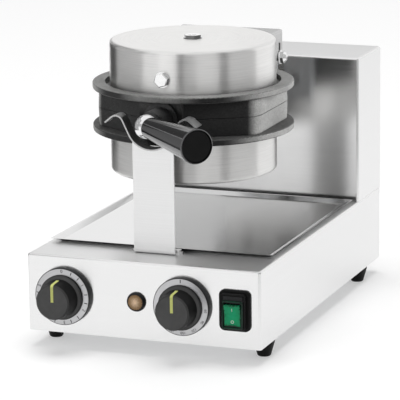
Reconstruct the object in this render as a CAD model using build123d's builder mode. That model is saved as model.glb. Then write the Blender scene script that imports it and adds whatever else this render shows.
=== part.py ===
from build123d import *
from math import acos, atan2, cos, degrees, radians, sin, sqrt
import os

# Bubble waffle maker: a sheet-steel base and rear housing carry a round cast-iron iron that
# turns over about a spindle, with a hinged upper half, a front post, controls and a drip tray.
# Millimetres, +Z up, X to the user's right, the control panel faces -Y.
# Origin: on the table, under the middle of the whole machine.

os.makedirs("parts", exist_ok=True)

# Base and rear housing
base_w = 250.0
base_d = 400.0
base_h = 80.0
housing_d = 80.0
sheet = 1.5
bend_r = 2.5
cover_t = 1.2
bottom_t = 1.2

# Feet
foot_h = 17.0
foot_top_r = 11.0
foot_low_r = 7.0
foot_side = foot_top_r + 0.5
foot_front = 42.0
foot_rear = base_d - 48.0

# Front post and cradle: a bent plate, and a spring strip formed round the handle's axis
post_t = 2.0
post_bend_r = 4.5
post_from_front = 34.0
post_foot_d = 16.0
cradle_r = 25.0
cradle_t = 1.5
cradle_d = 15.0
hump_r = 7.0
hump_x = cradle_r + cradle_t + hump_r + 3.5
hump_above_axis = 8.0
post_w = 2 * (cradle_r + cradle_t - 4.5)

# Iron: across its flange, and up from its turning axis
axis_above_top = 134.0
plate_r = 104.0
iron_from_front = post_from_front + post_t / 2 + cradle_d / 2 + 2.5 + plate_r
hex_r = plate_r - 2.0
hex_corner_r = 22.0
pad_w = 46.0
pad_from_middle = plate_r - 12.0
seam_gap = 0.5
flange_low = 18.5
flange_high = flange_low + 6.5
rim_w = 13.0
pan_floor = flange_low + 1.0
drum_r = plate_r - rim_w - 5.0
drum_high = 68.0
drum_t = 1.0
drum_edge_r = 4.0
web_depth = 2.0
web_hex_r = hex_r - 10.0
web_reach = web_hex_r - hex_corner_r * (1 / cos(radians(30)) - 1)
cell_pitch = 25.0
cell_r = 11.0
cell_depth = 9.5
cell_rings = int((web_reach - cell_r - 1.0) / cell_pitch)

# Hinge, yoke and spindle
arm_r = 8.0
pivot_from_front = iron_from_front + plate_r + 5.0
pivot_above_axis = flange_high + arm_r
pivot_pin_r = 4.0
yoke_t = 3.0
yoke_back_t = 5.0
yoke_half_w = 52.0
box_t = 2.0
box_half_w = yoke_half_w + box_t + 3.0
box_below_drum = 6.5
spindle_r = 12.0
spindle_bore_r = spindle_r - 4.5
spindle_flange_r = spindle_r + 12.0
flange_screw_ring = spindle_r + 6.5
bush_wall = 3.0
bearing_wall = 6.0
collar_wall = 5.0
lug_r = spindle_r + collar_wall + 5.0
stop_half = 3.5
housing_h = axis_above_top + lug_r + 2.5

# Handle
boss_r = 18.0
boss_t = 2.0
boss_nose_r = 13.0
shaft_r = 8.0
elbow_r = 12.5
elbow_from_front = post_from_front - 15.0
grip_angle = 43.0
grip_reach = 112.0
grip_start_r = 10.8
grip_end_r = 17.2
grip_wall = 1.5

# Controls: sizes, then their places in a row along the panel from its right edge and its left
dial_t = 1.0
bezel_wall = 2.5
bezel_h = 3.0
knob_skirt_r = 23.0
knob_face_r = knob_skirt_r - 5.0
knob_h = 24.0
knob_gap = 6.0
knob_hub_r = 12.0
knob_shaft_r = 3.0
bezel_r = knob_skirt_r + 4.0 + bezel_wall
pointer_w = 2.4
lamp_r = 10.0
lamp_lens_r = 6.0
rocker_w = 17.0
rocker_h = 22.0
rocker_tilt = 7.0
rocker_down = 2.5
window_w = rocker_w + 5.0
window_h = rocker_h + 11.0
switch_w = window_w + 11.0
switch_h = window_h + 9.0
switch_lip = 3.0
switch_stand = 8.0
control_up = base_h / 2 - 1.0
timer_x = -base_w / 2 + bezel_r + 10.5
switch_x = base_w / 2 - switch_w / 2 - 10.0
thermostat_x = switch_x - switch_w / 2 - bezel_r - 9.5
lamp_x = thermostat_x - bezel_r - lamp_r - 10.0

# Tray
tray_half_w = base_w / 2 - 3.5
tray_front = post_from_front + post_foot_d + 0.6
tray_rear = base_d - housing_d - 8.0
tray_rise = 4.0
tray_slope = 9.0
tray_t = 1.0

# Cable gland and fasteners
gland_r = 9.0
gland_out = 20.0
gland_x = -base_w / 2 + 35.0
gland_up = 30.0
screw_r = 2.0
screw_head_r = 3.8
screw_head_h = 2.4
bolt_r = 4.0
fit = 0.05
clear = 0.3

# Places worked out from the sizes above
grip_dir = Vector(cos(radians(grip_angle)), -sin(radians(grip_angle)), 0)
front_reach = grip_reach * sin(radians(grip_angle)) - elbow_from_front
front_reach = max(0, front_reach + grip_end_r * cos(radians(grip_angle)))
panel_y = (front_reach - base_d - gland_out) / 2
back_y = panel_y + base_d
housing_y = back_y - housing_d
base_z = foot_h
top_z = base_z + base_h
axis_z = top_z + axis_above_top
housing_top_z = top_z + housing_h
iron_y = panel_y + iron_from_front
pivot_y = panel_y + pivot_from_front
pivot_z = axis_z + pivot_above_axis
yoke_back_y = pivot_y + arm_r
elbow_y = panel_y + elbow_from_front
post_y = panel_y + post_from_front
control_z = base_z + control_up
rocker_z = control_z - rocker_down
wall_y = panel_y + sheet

# The iron's own planes: upper half seen from above, lower half seen from below
upper_half = Plane(origin=(0, iron_y, axis_z), x_dir=(1, 0, 0), z_dir=(0, 0, 1))
lower_half = Plane(origin=(0, iron_y, axis_z), x_dir=(1, 0, 0), z_dir=(0, 0, -1))


def facing_front(x, z, y):
    """A plane that looks out of the front, with its origin at the given place."""
    return Plane(origin=(x, y, z), x_dir=(1, 0, 0), z_dir=(0, -1, 0))


def facing_back(x, z, y):
    """A plane that looks out of the back, with its origin at the given place."""
    return Plane(origin=(x, y, z), x_dir=(-1, 0, 0), z_dir=(0, 1, 0))


def save(piece, name):
    """Label a finished piece and write its file."""
    piece.part.label = name
    export_step(piece.part, f"parts/{name}.step")


# Base shell: a five-sided box of folded sheet, open below
panel_holes = [(timer_x, 6.0), (thermostat_x, 6.0), (lamp_x, lamp_r - 2.0)]
post_screw_x = post_w / 2 - 0.5
post_screw_y = post_y + post_bend_r + 5.2
post_ear_r = 5.5
gland_z = base_z + gland_up
pedestal_y = housing_y + sheet + 12.0
pedestal_w = 64.0
stop_d = 8.0
pedestal_d = housing_d - sheet - 12.0 - stop_d - 14.5
bolt_in = 7.0
pedestal_bolts = [
    (x, y)
    for x in (bolt_in + 1.0 - pedestal_w / 2, pedestal_w / 2 - bolt_in - 1.0)
    for y in (pedestal_y + bolt_in, pedestal_y + pedestal_d - bolt_in)
]
with BuildPart() as base_shell:
    with BuildSketch(Plane.XY.offset(base_z)):
        with Locations((0, panel_y + base_d / 2)):
            Rectangle(base_w, base_d)
    extrude(amount=base_h)
    fillet(base_shell.edges().filter_by(Axis.Z), bend_r)
    fillet(base_shell.faces().sort_by(Axis.Z)[-1].edges(), bend_r)
    offset(amount=-sheet, openings=base_shell.faces().sort_by(Axis.Z)[0], kind=Kind.INTERSECTION)
    for hole_x, hole_r in panel_holes:
        with BuildSketch(facing_front(hole_x, control_z, panel_y)):
            Circle(hole_r)
        extrude(amount=-2 * sheet, mode=Mode.SUBTRACT)
    with BuildSketch(facing_front(switch_x, control_z, panel_y)):
        Rectangle(window_w + 2.0, window_h + 2.0)
    extrude(amount=-2 * sheet, mode=Mode.SUBTRACT)
    with BuildSketch(facing_back(gland_x, gland_z, back_y)):
        Circle(gland_r - 1.0)
    extrude(amount=-2 * sheet, mode=Mode.SUBTRACT)
    with BuildSketch(Plane.XY.offset(top_z)):
        with Locations((post_screw_x, post_screw_y), (-post_screw_x, post_screw_y), *pedestal_bolts):
            Circle(screw_r + clear)
    extrude(amount=-2 * sheet, mode=Mode.SUBTRACT)
    with BuildSketch(Plane.XY.offset(top_z)):
        with Locations((0, back_y - 16.0)):
            SlotOverall(60.0, 14.0)
    extrude(amount=-2 * sheet, mode=Mode.SUBTRACT)
save(base_shell, "base_shell")

# Bottom plate: closes the base, with a vent slot row and the feet's screw holes
foot_places = [
    (side * (base_w / 2 - foot_side), panel_y + along)
    for side in (-1, 1)
    for along in (foot_front, foot_rear)
]
with BuildPart() as bottom_plate:
    with BuildSketch(Plane.XY.offset(base_z)):
        with Locations((0, panel_y + base_d / 2)):
            RectangleRounded(base_w - 2 * sheet - 2 * clear, base_d - 2 * sheet - 2 * clear, bend_r)
        with Locations(*foot_places):
            Circle(screw_r + clear, mode=Mode.SUBTRACT)
        with Locations((0, panel_y + base_d / 2)):
            with GridLocations(14.0, 1.0, 9, 1):
                SlotOverall(40.0, 5.0, rotation=90, mode=Mode.SUBTRACT)
    extrude(amount=bottom_t)
save(bottom_plate, "bottom_plate")

# Feet: four tapered rubber feet, each hollowed from below for its screw
foot_recess_r = screw_head_r + 1.2
foot_seat = 6.0
with BuildPart() as feet:
    for foot_x, foot_y in foot_places:
        with BuildSketch(Plane(origin=(foot_x, foot_y, 0), x_dir=(1, 0, 0), z_dir=(0, -1, 0))):
            with BuildLine():
                Polyline(
                    (screw_r + 0.1, foot_h),
                    (foot_top_r, foot_h),
                    (foot_top_r, foot_h - 2.0),
                    (foot_low_r, 1.0),
                    (foot_low_r - 1.0, 0),
                    (foot_recess_r, 0),
                    (foot_recess_r, foot_h - foot_seat),
                    (screw_r + 0.1, foot_h - foot_seat),
                    close=True,
                )
            make_face()
        revolve(axis=Axis((foot_x, foot_y, 0), (0, 0, 1)))
save(feet, "feet")

# Rear housing: folded sheet, open below and behind, with the spindle's hole in front
# and four folded tabs that the back cover is screwed to
cover_screws_at = [
    (x, z)
    for x in (-base_w / 2 + 14.0, base_w / 2 - 14.0)
    for z in (top_z + 14.0, housing_top_z - 14.0)
]
cover_tab = 12.0
seal_r = spindle_r + bush_wall + bearing_wall
with BuildPart() as rear_housing:
    with BuildSketch(Plane.XY.offset(top_z)):
        with Locations((0, back_y - housing_d / 2)):
            Rectangle(base_w, housing_d)
    extrude(amount=housing_h)
    fillet(rear_housing.edges().filter_by(Axis.Z).group_by(Axis.Y)[0], bend_r)
    fillet(rear_housing.faces().sort_by(Axis.Z)[-1].edges().group_by(Axis.Y)[0:-1], bend_r)
    offset(
        amount=-sheet,
        openings=[rear_housing.faces().sort_by(Axis.Z)[0], rear_housing.faces().sort_by(Axis.Y)[-1]],
        kind=Kind.INTERSECTION,
    )
    with BuildSketch(facing_front(0, axis_z, housing_y)):
        Circle(seal_r + clear)
    extrude(amount=-2 * sheet, mode=Mode.SUBTRACT)
    for tab_x, tab_z in cover_screws_at:
        outward = 1 if tab_x > 0 else -1
        wall_x = outward * (base_w / 2 - sheet)
        inner_x = tab_x - outward * cover_tab / 2
        with BuildSketch(facing_back(0, tab_z, back_y - cover_t)):
            with Locations((-(wall_x + inner_x) / 2, 0)):
                Rectangle(abs(wall_x - inner_x), cover_tab)
            with Locations((-tab_x, 0)):
                Circle(screw_r + 0.1, mode=Mode.SUBTRACT)
        extrude(amount=-sheet)
save(rear_housing, "rear_housing")

# Back cover: a flat plate over the housing's open back, with louvre slots
cover_margin = 0.4
with BuildPart() as back_cover:
    with BuildSketch(facing_back(0, (top_z + housing_top_z - sheet) / 2, back_y - cover_t)):
        Rectangle(base_w - 2 * sheet - 2 * cover_margin, housing_h - sheet - 2 * cover_margin)
        with GridLocations(1.0, 12.0, 1, 5):
            SlotOverall(90.0, 4.0, mode=Mode.SUBTRACT)
    extrude(amount=cover_t)
    with BuildSketch(facing_back(0, 0, back_y)):
        with Locations(*[(-x, z) for x, z in cover_screws_at]):
            Circle(screw_r + clear)
    extrude(amount=-2 * cover_t, mode=Mode.SUBTRACT)
save(back_cover, "back_cover")

# Bearing pedestal: a cast bracket on the base top that carries the spindle's two bushes
bush_r = spindle_r + bush_wall
foot_plate_t = 6.0
web_t = 10.0
pedestal_back = pedestal_y + pedestal_d
with BuildPart() as bearing_pedestal:
    with BuildSketch(Plane.XY.offset(top_z)):
        with Locations((0, pedestal_y + pedestal_d / 2)):
            Rectangle(pedestal_w, pedestal_d)
    extrude(amount=foot_plate_t)
    with BuildSketch(facing_front(0, 0, pedestal_y + pedestal_d / 2 + web_t / 2)):
        with BuildLine():
            Polyline(
                (-pedestal_w / 2, top_z),
                (-pedestal_w / 2, top_z + foot_plate_t),
                (-seal_r, axis_z),
                (seal_r, axis_z),
                (pedestal_w / 2, top_z + foot_plate_t),
                (pedestal_w / 2, top_z),
                close=True,
            )
        make_face()
    extrude(amount=web_t)
    with BuildSketch(Plane(origin=(-web_t / 2, 0, 0), x_dir=(0, 1, 0), z_dir=(1, 0, 0))):
        with BuildLine():
            Polyline(
                (pedestal_y, top_z),
                (pedestal_y, top_z + 2 * foot_plate_t),
                (pedestal_y + web_t, axis_z),
                (pedestal_back - web_t, axis_z),
                (pedestal_back, top_z + 2 * foot_plate_t),
                (pedestal_back, top_z),
                close=True,
            )
        make_face()
    extrude(amount=web_t)
    with BuildSketch(facing_front(0, axis_z, pedestal_back)):
        Circle(seal_r)
    extrude(amount=pedestal_back - housing_y - clear)
    with BuildSketch(facing_front(0, axis_z, pedestal_back)):
        Circle(bush_r + fit)
    extrude(amount=pedestal_back - housing_y, mode=Mode.SUBTRACT)
    with BuildSketch(Plane.XY.offset(top_z)):
        with Locations(*pedestal_bolts):
            Circle(screw_r + clear)
    extrude(amount=foot_plate_t, mode=Mode.SUBTRACT)
save(bearing_pedestal, "bearing_pedestal")

# Two flanged bushes line the pedestal's bore, one at each end
bush_len = 16.0
with BuildPart() as bushes:
    for bush_y in (housing_y + clear + bush_len, pedestal_back):
        with BuildSketch(facing_front(0, axis_z, bush_y)):
            Circle(bush_r)
            Circle(spindle_r + fit, mode=Mode.SUBTRACT)
        extrude(amount=bush_len)
save(bushes, "bushes")

# Stop bracket: behind the pedestal, its two level pads stop the collar's lug a half turn apart
stop_y = pedestal_back
stop_drop = 26.0
collar_r = spindle_r + collar_wall
with BuildPart() as stop_bracket:
    with BuildSketch(facing_front(0, axis_z, stop_y + stop_d)):
        with Locations((0, -stop_half - 0.1)):
            Rectangle(2 * lug_r, stop_drop, align=(Align.CENTER, Align.MAX))
        Circle(collar_r + 1.0, mode=Mode.SUBTRACT)
    extrude(amount=stop_d)
save(stop_bracket, "stop_bracket")

# Spindle: a hollow shaft with a flange in front, bored for the heaters' leads
flange_t = 6.0
with BuildPart() as spindle:
    with BuildSketch(facing_back(0, axis_z, yoke_back_y)):
        Circle(spindle_flange_r)
    extrude(amount=flange_t)
    with BuildSketch(facing_back(0, axis_z, yoke_back_y)):
        Circle(spindle_r)
    extrude(amount=stop_y + stop_d + 6.0 - yoke_back_y)
    with BuildSketch(facing_back(0, axis_z, yoke_back_y)):
        Circle(spindle_bore_r)
    extrude(amount=stop_y + stop_d + 6.0 - yoke_back_y, mode=Mode.SUBTRACT)
    with BuildSketch(facing_back(0, axis_z, yoke_back_y)):
        with PolarLocations(flange_screw_ring, 4, 45):
            Circle(screw_r + clear)
    extrude(amount=flange_t, mode=Mode.SUBTRACT)
save(spindle, "spindle")

with BuildPart() as spindle_screws:
    with BuildSketch(facing_back(0, axis_z, yoke_back_y + flange_t)):
        with PolarLocations(flange_screw_ring, 4, 45):
            RegularPolygon(screw_head_r, 6)
    extrude(amount=screw_head_h)
    with BuildSketch(facing_back(0, axis_z, yoke_back_y + flange_t)):
        with PolarLocations(flange_screw_ring, 4, 45):
            Circle(screw_r)
    extrude(amount=-flange_t - yoke_back_t)
save(spindle_screws, "spindle_screws")

# Stop collar: clamped behind the pedestal, its lug rests on one pad or the other
collar_gap = 0.5
with BuildPart() as stop_collar:
    with BuildSketch(facing_front(0, axis_z, stop_y + stop_d)):
        Circle(collar_r)
        with Locations((lug_r / 2, 0)):
            Rectangle(lug_r, 2 * stop_half)
        Circle(spindle_r + fit, mode=Mode.SUBTRACT)
    extrude(amount=stop_d - collar_gap)
save(stop_collar, "stop_collar")


def casting_body(plane):
    """One half of the iron: hexagonal body, round flange with a raised rim, cup-shaped cells."""
    with BuildPart(mode=Mode.PRIVATE) as half:
        with BuildSketch(plane.offset(seam_gap / 2)) as outline:
            RegularPolygon(hex_r, 6, rotation=90)
            fillet(outline.vertices(), hex_corner_r)
            Rectangle(2 * plate_r, 2 * pad_from_middle, mode=Mode.INTERSECT)
        extrude(amount=flange_low - seam_gap / 2, taper=2)
        with BuildSketch(plane.offset(flange_low)):
            Circle(plate_r)
        extrude(amount=flange_high - flange_low)
        fillet(half.edges().filter_by(GeomType.CIRCLE).sort_by(SortBy.RADIUS)[-2:], 1.5)
        with BuildSketch(plane.offset(pan_floor)):
            Circle(plate_r - rim_w)
        extrude(amount=flange_high - pan_floor, mode=Mode.SUBTRACT)
        with BuildSketch(plane.offset(seam_gap / 2)) as web:
            RegularPolygon(web_hex_r, 6, rotation=90)
            fillet(web.vertices(), hex_corner_r)
        extrude(amount=web_depth, mode=Mode.SUBTRACT)
        sphere_r = (cell_r**2 + cell_depth**2) / (2 * cell_depth)
        cells = [
            (
                cell_pitch * sin(radians(60)) * q,
                cell_pitch * (r + q / 2),
            )
            for q in range(-cell_rings, cell_rings + 1)
            for r in range(-cell_rings, cell_rings + 1)
            if abs(q + r) <= cell_rings
        ]
        with Locations(plane.offset(seam_gap / 2 + web_depth + cell_depth - sphere_r)):
            with Locations(*cells):
                Sphere(sphere_r, mode=Mode.SUBTRACT)
    return half.part


# Upper casting, with the front pad that the handle's boss is fixed to
pad_y = iron_y - pad_from_middle
pad_depth = 20.0
boss_y = pad_y - boss_t
boss_nose_y = elbow_y + elbow_r + 0.5
with BuildPart() as upper_plate:
    add(casting_body(upper_half))
    with BuildSketch(upper_half.offset(seam_gap / 2)):
        with Locations((0, pad_y - iron_y)):
            Rectangle(pad_w, pad_depth, align=(Align.CENTER, Align.MIN))
    extrude(amount=flange_low)
save(upper_plate, "upper_plate")

# Handle boss: a turned collar on the pad, with a long sleeve that the handle's shaft goes into
with BuildPart() as handle_boss:
    with BuildSketch(facing_front(0, axis_z, pad_y)):
        Circle(boss_r)
    extrude(amount=pad_y - boss_y)
    with BuildSketch(facing_front(0, axis_z, boss_y)):
        Circle(boss_nose_r)
    extrude(amount=boss_y - boss_nose_y)
    with BuildSketch(facing_front(0, axis_z, pad_y)):
        Circle(shaft_r + fit)
    extrude(amount=pad_y - boss_nose_y, mode=Mode.SUBTRACT)
save(handle_boss, "handle_boss")

# Lower casting, with the rear pad that the yoke is bolted to
rear_pad_w = 2 * (yoke_half_w - yoke_t - 4.0)
rear_pad_depth = yoke_back_y - yoke_back_t - iron_y - pad_from_middle + 14.0
rear_bolts_x = yoke_half_w - 16.0
rear_bolts_down = 9.5
with BuildPart() as lower_plate:
    add(casting_body(lower_half))
    with BuildSketch(lower_half.offset(seam_gap / 2)):
        with Locations((0, -(yoke_back_y - yoke_back_t - iron_y))):
            Rectangle(rear_pad_w, rear_pad_depth, align=(Align.CENTER, Align.MIN))
    extrude(amount=flange_low)
    with BuildSketch(facing_back(0, axis_z - rear_bolts_down, yoke_back_y - yoke_back_t)):
        with Locations((rear_bolts_x, 0), (-rear_bolts_x, 0)):
            Circle(bolt_r + 0.1)
    extrude(amount=-20.0, mode=Mode.SUBTRACT)
save(lower_plate, "lower_plate")

# Drum covers: brushed cups with a rounded edge, each held by a middle stud and a side bolt
stud_r = 4.0
side_bolt_up = flange_high + 14.5


def drum_cover(plane):
    """A spun cup over one casting, open towards the casting's pan."""
    with BuildPart(mode=Mode.PRIVATE) as cup:
        with BuildSketch(plane.offset(pan_floor)):
            Circle(drum_r)
        extrude(amount=drum_high - pan_floor)
        outward = Axis(plane.origin, plane.z_dir)
        fillet(cup.faces().sort_by(outward)[-1].edges(), drum_edge_r)
        offset(amount=-drum_t, openings=cup.faces().sort_by(outward)[0])
        with BuildSketch(plane.offset(drum_high)):
            Circle(stud_r + 0.1)
        extrude(amount=-2 * drum_t, mode=Mode.SUBTRACT)
        with BuildSketch(facing_front(0, axis_z + plane.z_dir.Z * side_bolt_up, iron_y - drum_r)):
            Circle(bolt_r + 0.1)
        extrude(amount=-4 * drum_t, mode=Mode.SUBTRACT)
    return cup.part


with BuildPart() as upper_cover:
    add(drum_cover(upper_half))
save(upper_cover, "upper_cover")

with BuildPart() as lower_cover:
    add(drum_cover(lower_half))
save(lower_cover, "lower_cover")

# Inside each drum: a ring heater on the casting, a reflector sheet above it and the middle stud
heater_ring_r = 58.0
heater_tube_r = 4.0
heater_pin_r = 3.4
heater_pin_len = 22.0
reflector_up = pan_floor + 2 * heater_tube_r + 2.5
reflector_hole_r = 7.0
nut_h = 3.6
nut_r = 9.0
side_nut_r = 8.0
side_head_h = 5.0
side_screw_len = 14.0


def ring_heater(plane):
    """A bent tube lying on the pan floor, nearly a full turn, with a terminal pin up from each end."""
    ring = plane.offset(pan_floor + heater_tube_r)
    with BuildPart(mode=Mode.PRIVATE) as tube:
        with BuildLine(ring):
            turn = CenterArc((0, 0), heater_ring_r, 15, 330)
        with BuildSketch(Plane(origin=turn @ 0, z_dir=turn % 0)):
            Circle(heater_tube_r)
        sweep(path=turn)
        for end in (15, 345):
            with BuildSketch(ring):
                with Locations((heater_ring_r * cos(radians(end)), heater_ring_r * sin(radians(end)))):
                    Circle(heater_pin_r)
            extrude(amount=heater_pin_len)
    return tube.part


def reflector(plane):
    """A thin round sheet that keeps the heat towards the casting, holed for studs and leads."""
    with BuildPart(mode=Mode.PRIVATE) as disc:
        with BuildSketch(plane.offset(reflector_up)):
            Circle(drum_r - drum_t - 1.0)
            Circle(stud_r + 0.1, mode=Mode.SUBTRACT)
            with PolarLocations(heater_ring_r, 2, 15, -30, endpoint=True):
                Circle(reflector_hole_r, mode=Mode.SUBTRACT)
        extrude(amount=drum_t)
    return disc.part


def middle_stud(plane):
    """A stud from the pan floor through the cover, with a shoulder that holds the reflector."""
    with BuildPart(mode=Mode.PRIVATE) as stud:
        with BuildSketch(plane.offset(pan_floor)):
            Circle(stud_r)
        extrude(amount=drum_high + nut_h + 0.3 - pan_floor)
        with BuildSketch(plane.offset(pan_floor)):
            Circle(stud_r + 4.0)
        extrude(amount=reflector_up - pan_floor)
    return stud.part


def cover_nut(plane):
    """A hexagon nut on a round washer, on the middle of the drum cover."""
    with BuildPart(mode=Mode.PRIVATE) as nut:
        with BuildSketch(plane.offset(drum_high)):
            Circle(nut_r + 0.6)
        extrude(amount=1.0)
        with BuildSketch(plane.offset(drum_high + 1.0)):
            RegularPolygon(nut_r, 6)
        extrude(amount=nut_h - 1.0)
        with BuildSketch(plane.offset(drum_high)):
            Circle(stud_r + 0.1)
        extrude(amount=nut_h, mode=Mode.SUBTRACT)
    return nut.part


def side_bolt(plane):
    """A hexagon bolt through the drum's front wall, with its nut inside."""
    bolt_z = axis_z + plane.z_dir.Z * side_bolt_up
    seat_y = iron_y - drum_r - 0.1
    with BuildPart(mode=Mode.PRIVATE) as bolt:
        with BuildSketch(facing_front(0, bolt_z, seat_y)):
            Circle(side_nut_r)
        extrude(amount=1.2)
        with BuildSketch(facing_front(0, bolt_z, seat_y - 1.2)):
            RegularPolygon(side_nut_r - 0.5, 6, rotation=15)
        extrude(amount=side_head_h)
        chamfer(bolt.faces().sort_by(Axis.Y)[0].edges(), 0.8)
        with BuildSketch(facing_front(0, bolt_z, seat_y)):
            Circle(bolt_r)
        extrude(amount=-side_screw_len)
        with BuildSketch(facing_front(0, bolt_z, seat_y + drum_t + 1.2)):
            RegularPolygon(side_nut_r - 0.5, 6)
        extrude(amount=-5.0)
    return bolt.part


for half_name, half_plane in (("upper", upper_half), ("lower", lower_half)):
    with BuildPart() as heater:
        add(ring_heater(half_plane))
    save(heater, f"{half_name}_heater")
    with BuildPart() as reflector_disc:
        add(reflector(half_plane))
    save(reflector_disc, f"{half_name}_reflector")
    with BuildPart() as stud:
        add(middle_stud(half_plane))
    save(stud, f"{half_name}_stud")
    with BuildPart() as nut:
        add(cover_nut(half_plane))
    save(nut, f"{half_name}_cover_nut")
    with BuildPart() as bolt:
        add(side_bolt(half_plane))
    save(bolt, f"{half_name}_side_bolt")

# Yoke: a folded steel bracket behind the iron; its two arms carry the lid's hinge bolts
yoke_front_y = yoke_back_y - yoke_back_t
yoke_low_z = axis_z - 34.0
yoke_mid_z = axis_z + 26.0
arm_x = yoke_half_w - yoke_t
with BuildPart() as yoke:
    with BuildSketch(Plane(origin=(-yoke_half_w, 0, 0), x_dir=(0, 1, 0), z_dir=(1, 0, 0))):
        with BuildLine():
            arm_top = CenterArc((pivot_y, pivot_z), arm_r, 0, 180)
            Polyline(
                arm_top @ 1,
                (pivot_y - arm_r, yoke_low_z + 10.0),
                (pivot_y - arm_r + 6.0, yoke_low_z),
                (yoke_back_y, yoke_low_z),
                arm_top @ 0,
            )
        make_face()
    extrude(amount=2 * yoke_half_w)
    with BuildSketch(Plane.XY.offset(yoke_low_z)):
        with Locations((0, yoke_front_y)):
            Rectangle(2 * arm_x, 60.0, align=(Align.CENTER, Align.MAX))
    extrude(amount=pivot_z + arm_r - yoke_low_z, mode=Mode.SUBTRACT)
    with BuildSketch(Plane.XY.offset(yoke_mid_z)):
        with Locations((0, yoke_back_y)):
            Rectangle(2 * arm_x, 60.0, align=(Align.CENTER, Align.MAX))
    extrude(amount=pivot_z + arm_r - yoke_mid_z, mode=Mode.SUBTRACT)
    with BuildSketch(Plane(origin=(-yoke_half_w, pivot_y, pivot_z), x_dir=(0, 1, 0), z_dir=(1, 0, 0))):
        Circle(pivot_pin_r + 0.1)
    extrude(amount=2 * yoke_half_w, mode=Mode.SUBTRACT)
    with BuildSketch(facing_back(0, axis_z, yoke_back_y)):
        Circle(spindle_bore_r)
        with PolarLocations(flange_screw_ring, 4, 45):
            Circle(screw_r + 0.1)
        with Locations((rear_bolts_x, -rear_bolts_down), (-rear_bolts_x, -rear_bolts_down)):
            Circle(bolt_r + 0.1)
    extrude(amount=-yoke_back_t, mode=Mode.SUBTRACT)
save(yoke, "yoke")

with BuildPart() as yoke_bolts:
    with BuildSketch(facing_back(0, axis_z - rear_bolts_down, yoke_back_y)):
        with Locations((rear_bolts_x, 0), (-rear_bolts_x, 0)):
            RegularPolygon(7.5, 6)
    extrude(amount=5.0)
    with BuildSketch(facing_back(0, axis_z - rear_bolts_down, yoke_back_y)):
        with Locations((rear_bolts_x, 0), (-rear_bolts_x, 0)):
            Circle(bolt_r)
    extrude(amount=-yoke_back_t - 18.0)
save(yoke_bolts, "yoke_bolts")

# Hinge box: a folded channel behind the upper drum that turns on the yoke's hinge bolts
box_low_z = axis_z + flange_high + 0.1
box_high_z = axis_z + drum_high - box_below_drum
box_front_y = iron_y + 40.0
tab_x = yoke_half_w - 5.0
tab_back_y = iron_y + sqrt(plate_r**2 - yoke_half_w**2) + 3.0
tab_front_y = tab_back_y - 18.0
tab_screw_y = iron_y + sqrt((plate_r - rim_w / 2) ** 2 - tab_x**2)
slot_z = (box_low_z + box_high_z) / 2
slot_y = pivot_y - 1.5
with BuildPart() as hinge_box:
    with BuildSketch(Plane(origin=(-box_half_w, 0, 0), x_dir=(0, 1, 0), z_dir=(1, 0, 0))):
        with BuildLine():
            ear = CenterArc((pivot_y, pivot_z), arm_r, 0, -130)
            Polyline(
                ear @ 1,
                (pivot_y - 14.0, box_low_z),
                (box_front_y, box_low_z),
                (box_front_y, box_high_z),
                (pivot_y + arm_r, box_high_z),
                ear @ 0,
            )
        make_face()
    extrude(amount=2 * box_half_w)
    fillet(hinge_box.edges().filter_by(Axis.Y).group_by(Axis.Z)[-1], box_t)
    with BuildSketch(Plane.XY.offset(box_low_z + box_t)):
        with Locations((0, panel_y + base_d / 2)):
            Rectangle(2 * (box_half_w - box_t), base_d)
    extrude(amount=box_high_z - box_low_z - 2 * box_t, mode=Mode.SUBTRACT)
    with BuildSketch(Plane.XY.offset(pivot_z - 2 * arm_r)):
        with Locations((0, panel_y + base_d / 2)):
            Rectangle(2 * (tab_x - 7.0), base_d)
        with Locations((0, tab_back_y)):
            Rectangle(2 * (box_half_w - box_t), base_d, align=(Align.CENTER, Align.MIN))
        with Locations((0, tab_front_y)):
            Rectangle(2 * (box_half_w - box_t), base_d, align=(Align.CENTER, Align.MAX))
    extrude(amount=2 * arm_r, mode=Mode.SUBTRACT)
    with BuildSketch(Plane.XY.offset(box_low_z - 1.0)):
        with Locations((0, iron_y)):
            Circle(drum_r + 0.3)
    extrude(amount=drum_high, mode=Mode.SUBTRACT)
    with BuildSketch(Plane(origin=(-box_half_w, pivot_y, pivot_z), x_dir=(0, 1, 0), z_dir=(1, 0, 0))):
        Circle(pivot_pin_r + fit)
    extrude(amount=2 * box_half_w, mode=Mode.SUBTRACT)
    with BuildSketch(Plane(origin=(-box_half_w, slot_y, slot_z), x_dir=(0, 1, 0), z_dir=(1, 0, 0))):
        RectangleRounded(6.5, 10.0, 1.5)
    extrude(amount=2 * box_half_w, mode=Mode.SUBTRACT)
    with BuildSketch(Plane.XY.offset(box_low_z)):
        with Locations((tab_x, tab_screw_y), (-tab_x, tab_screw_y)):
            Circle(screw_r + 0.1)
    extrude(amount=box_t, mode=Mode.SUBTRACT)
save(hinge_box, "hinge_box")

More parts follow.
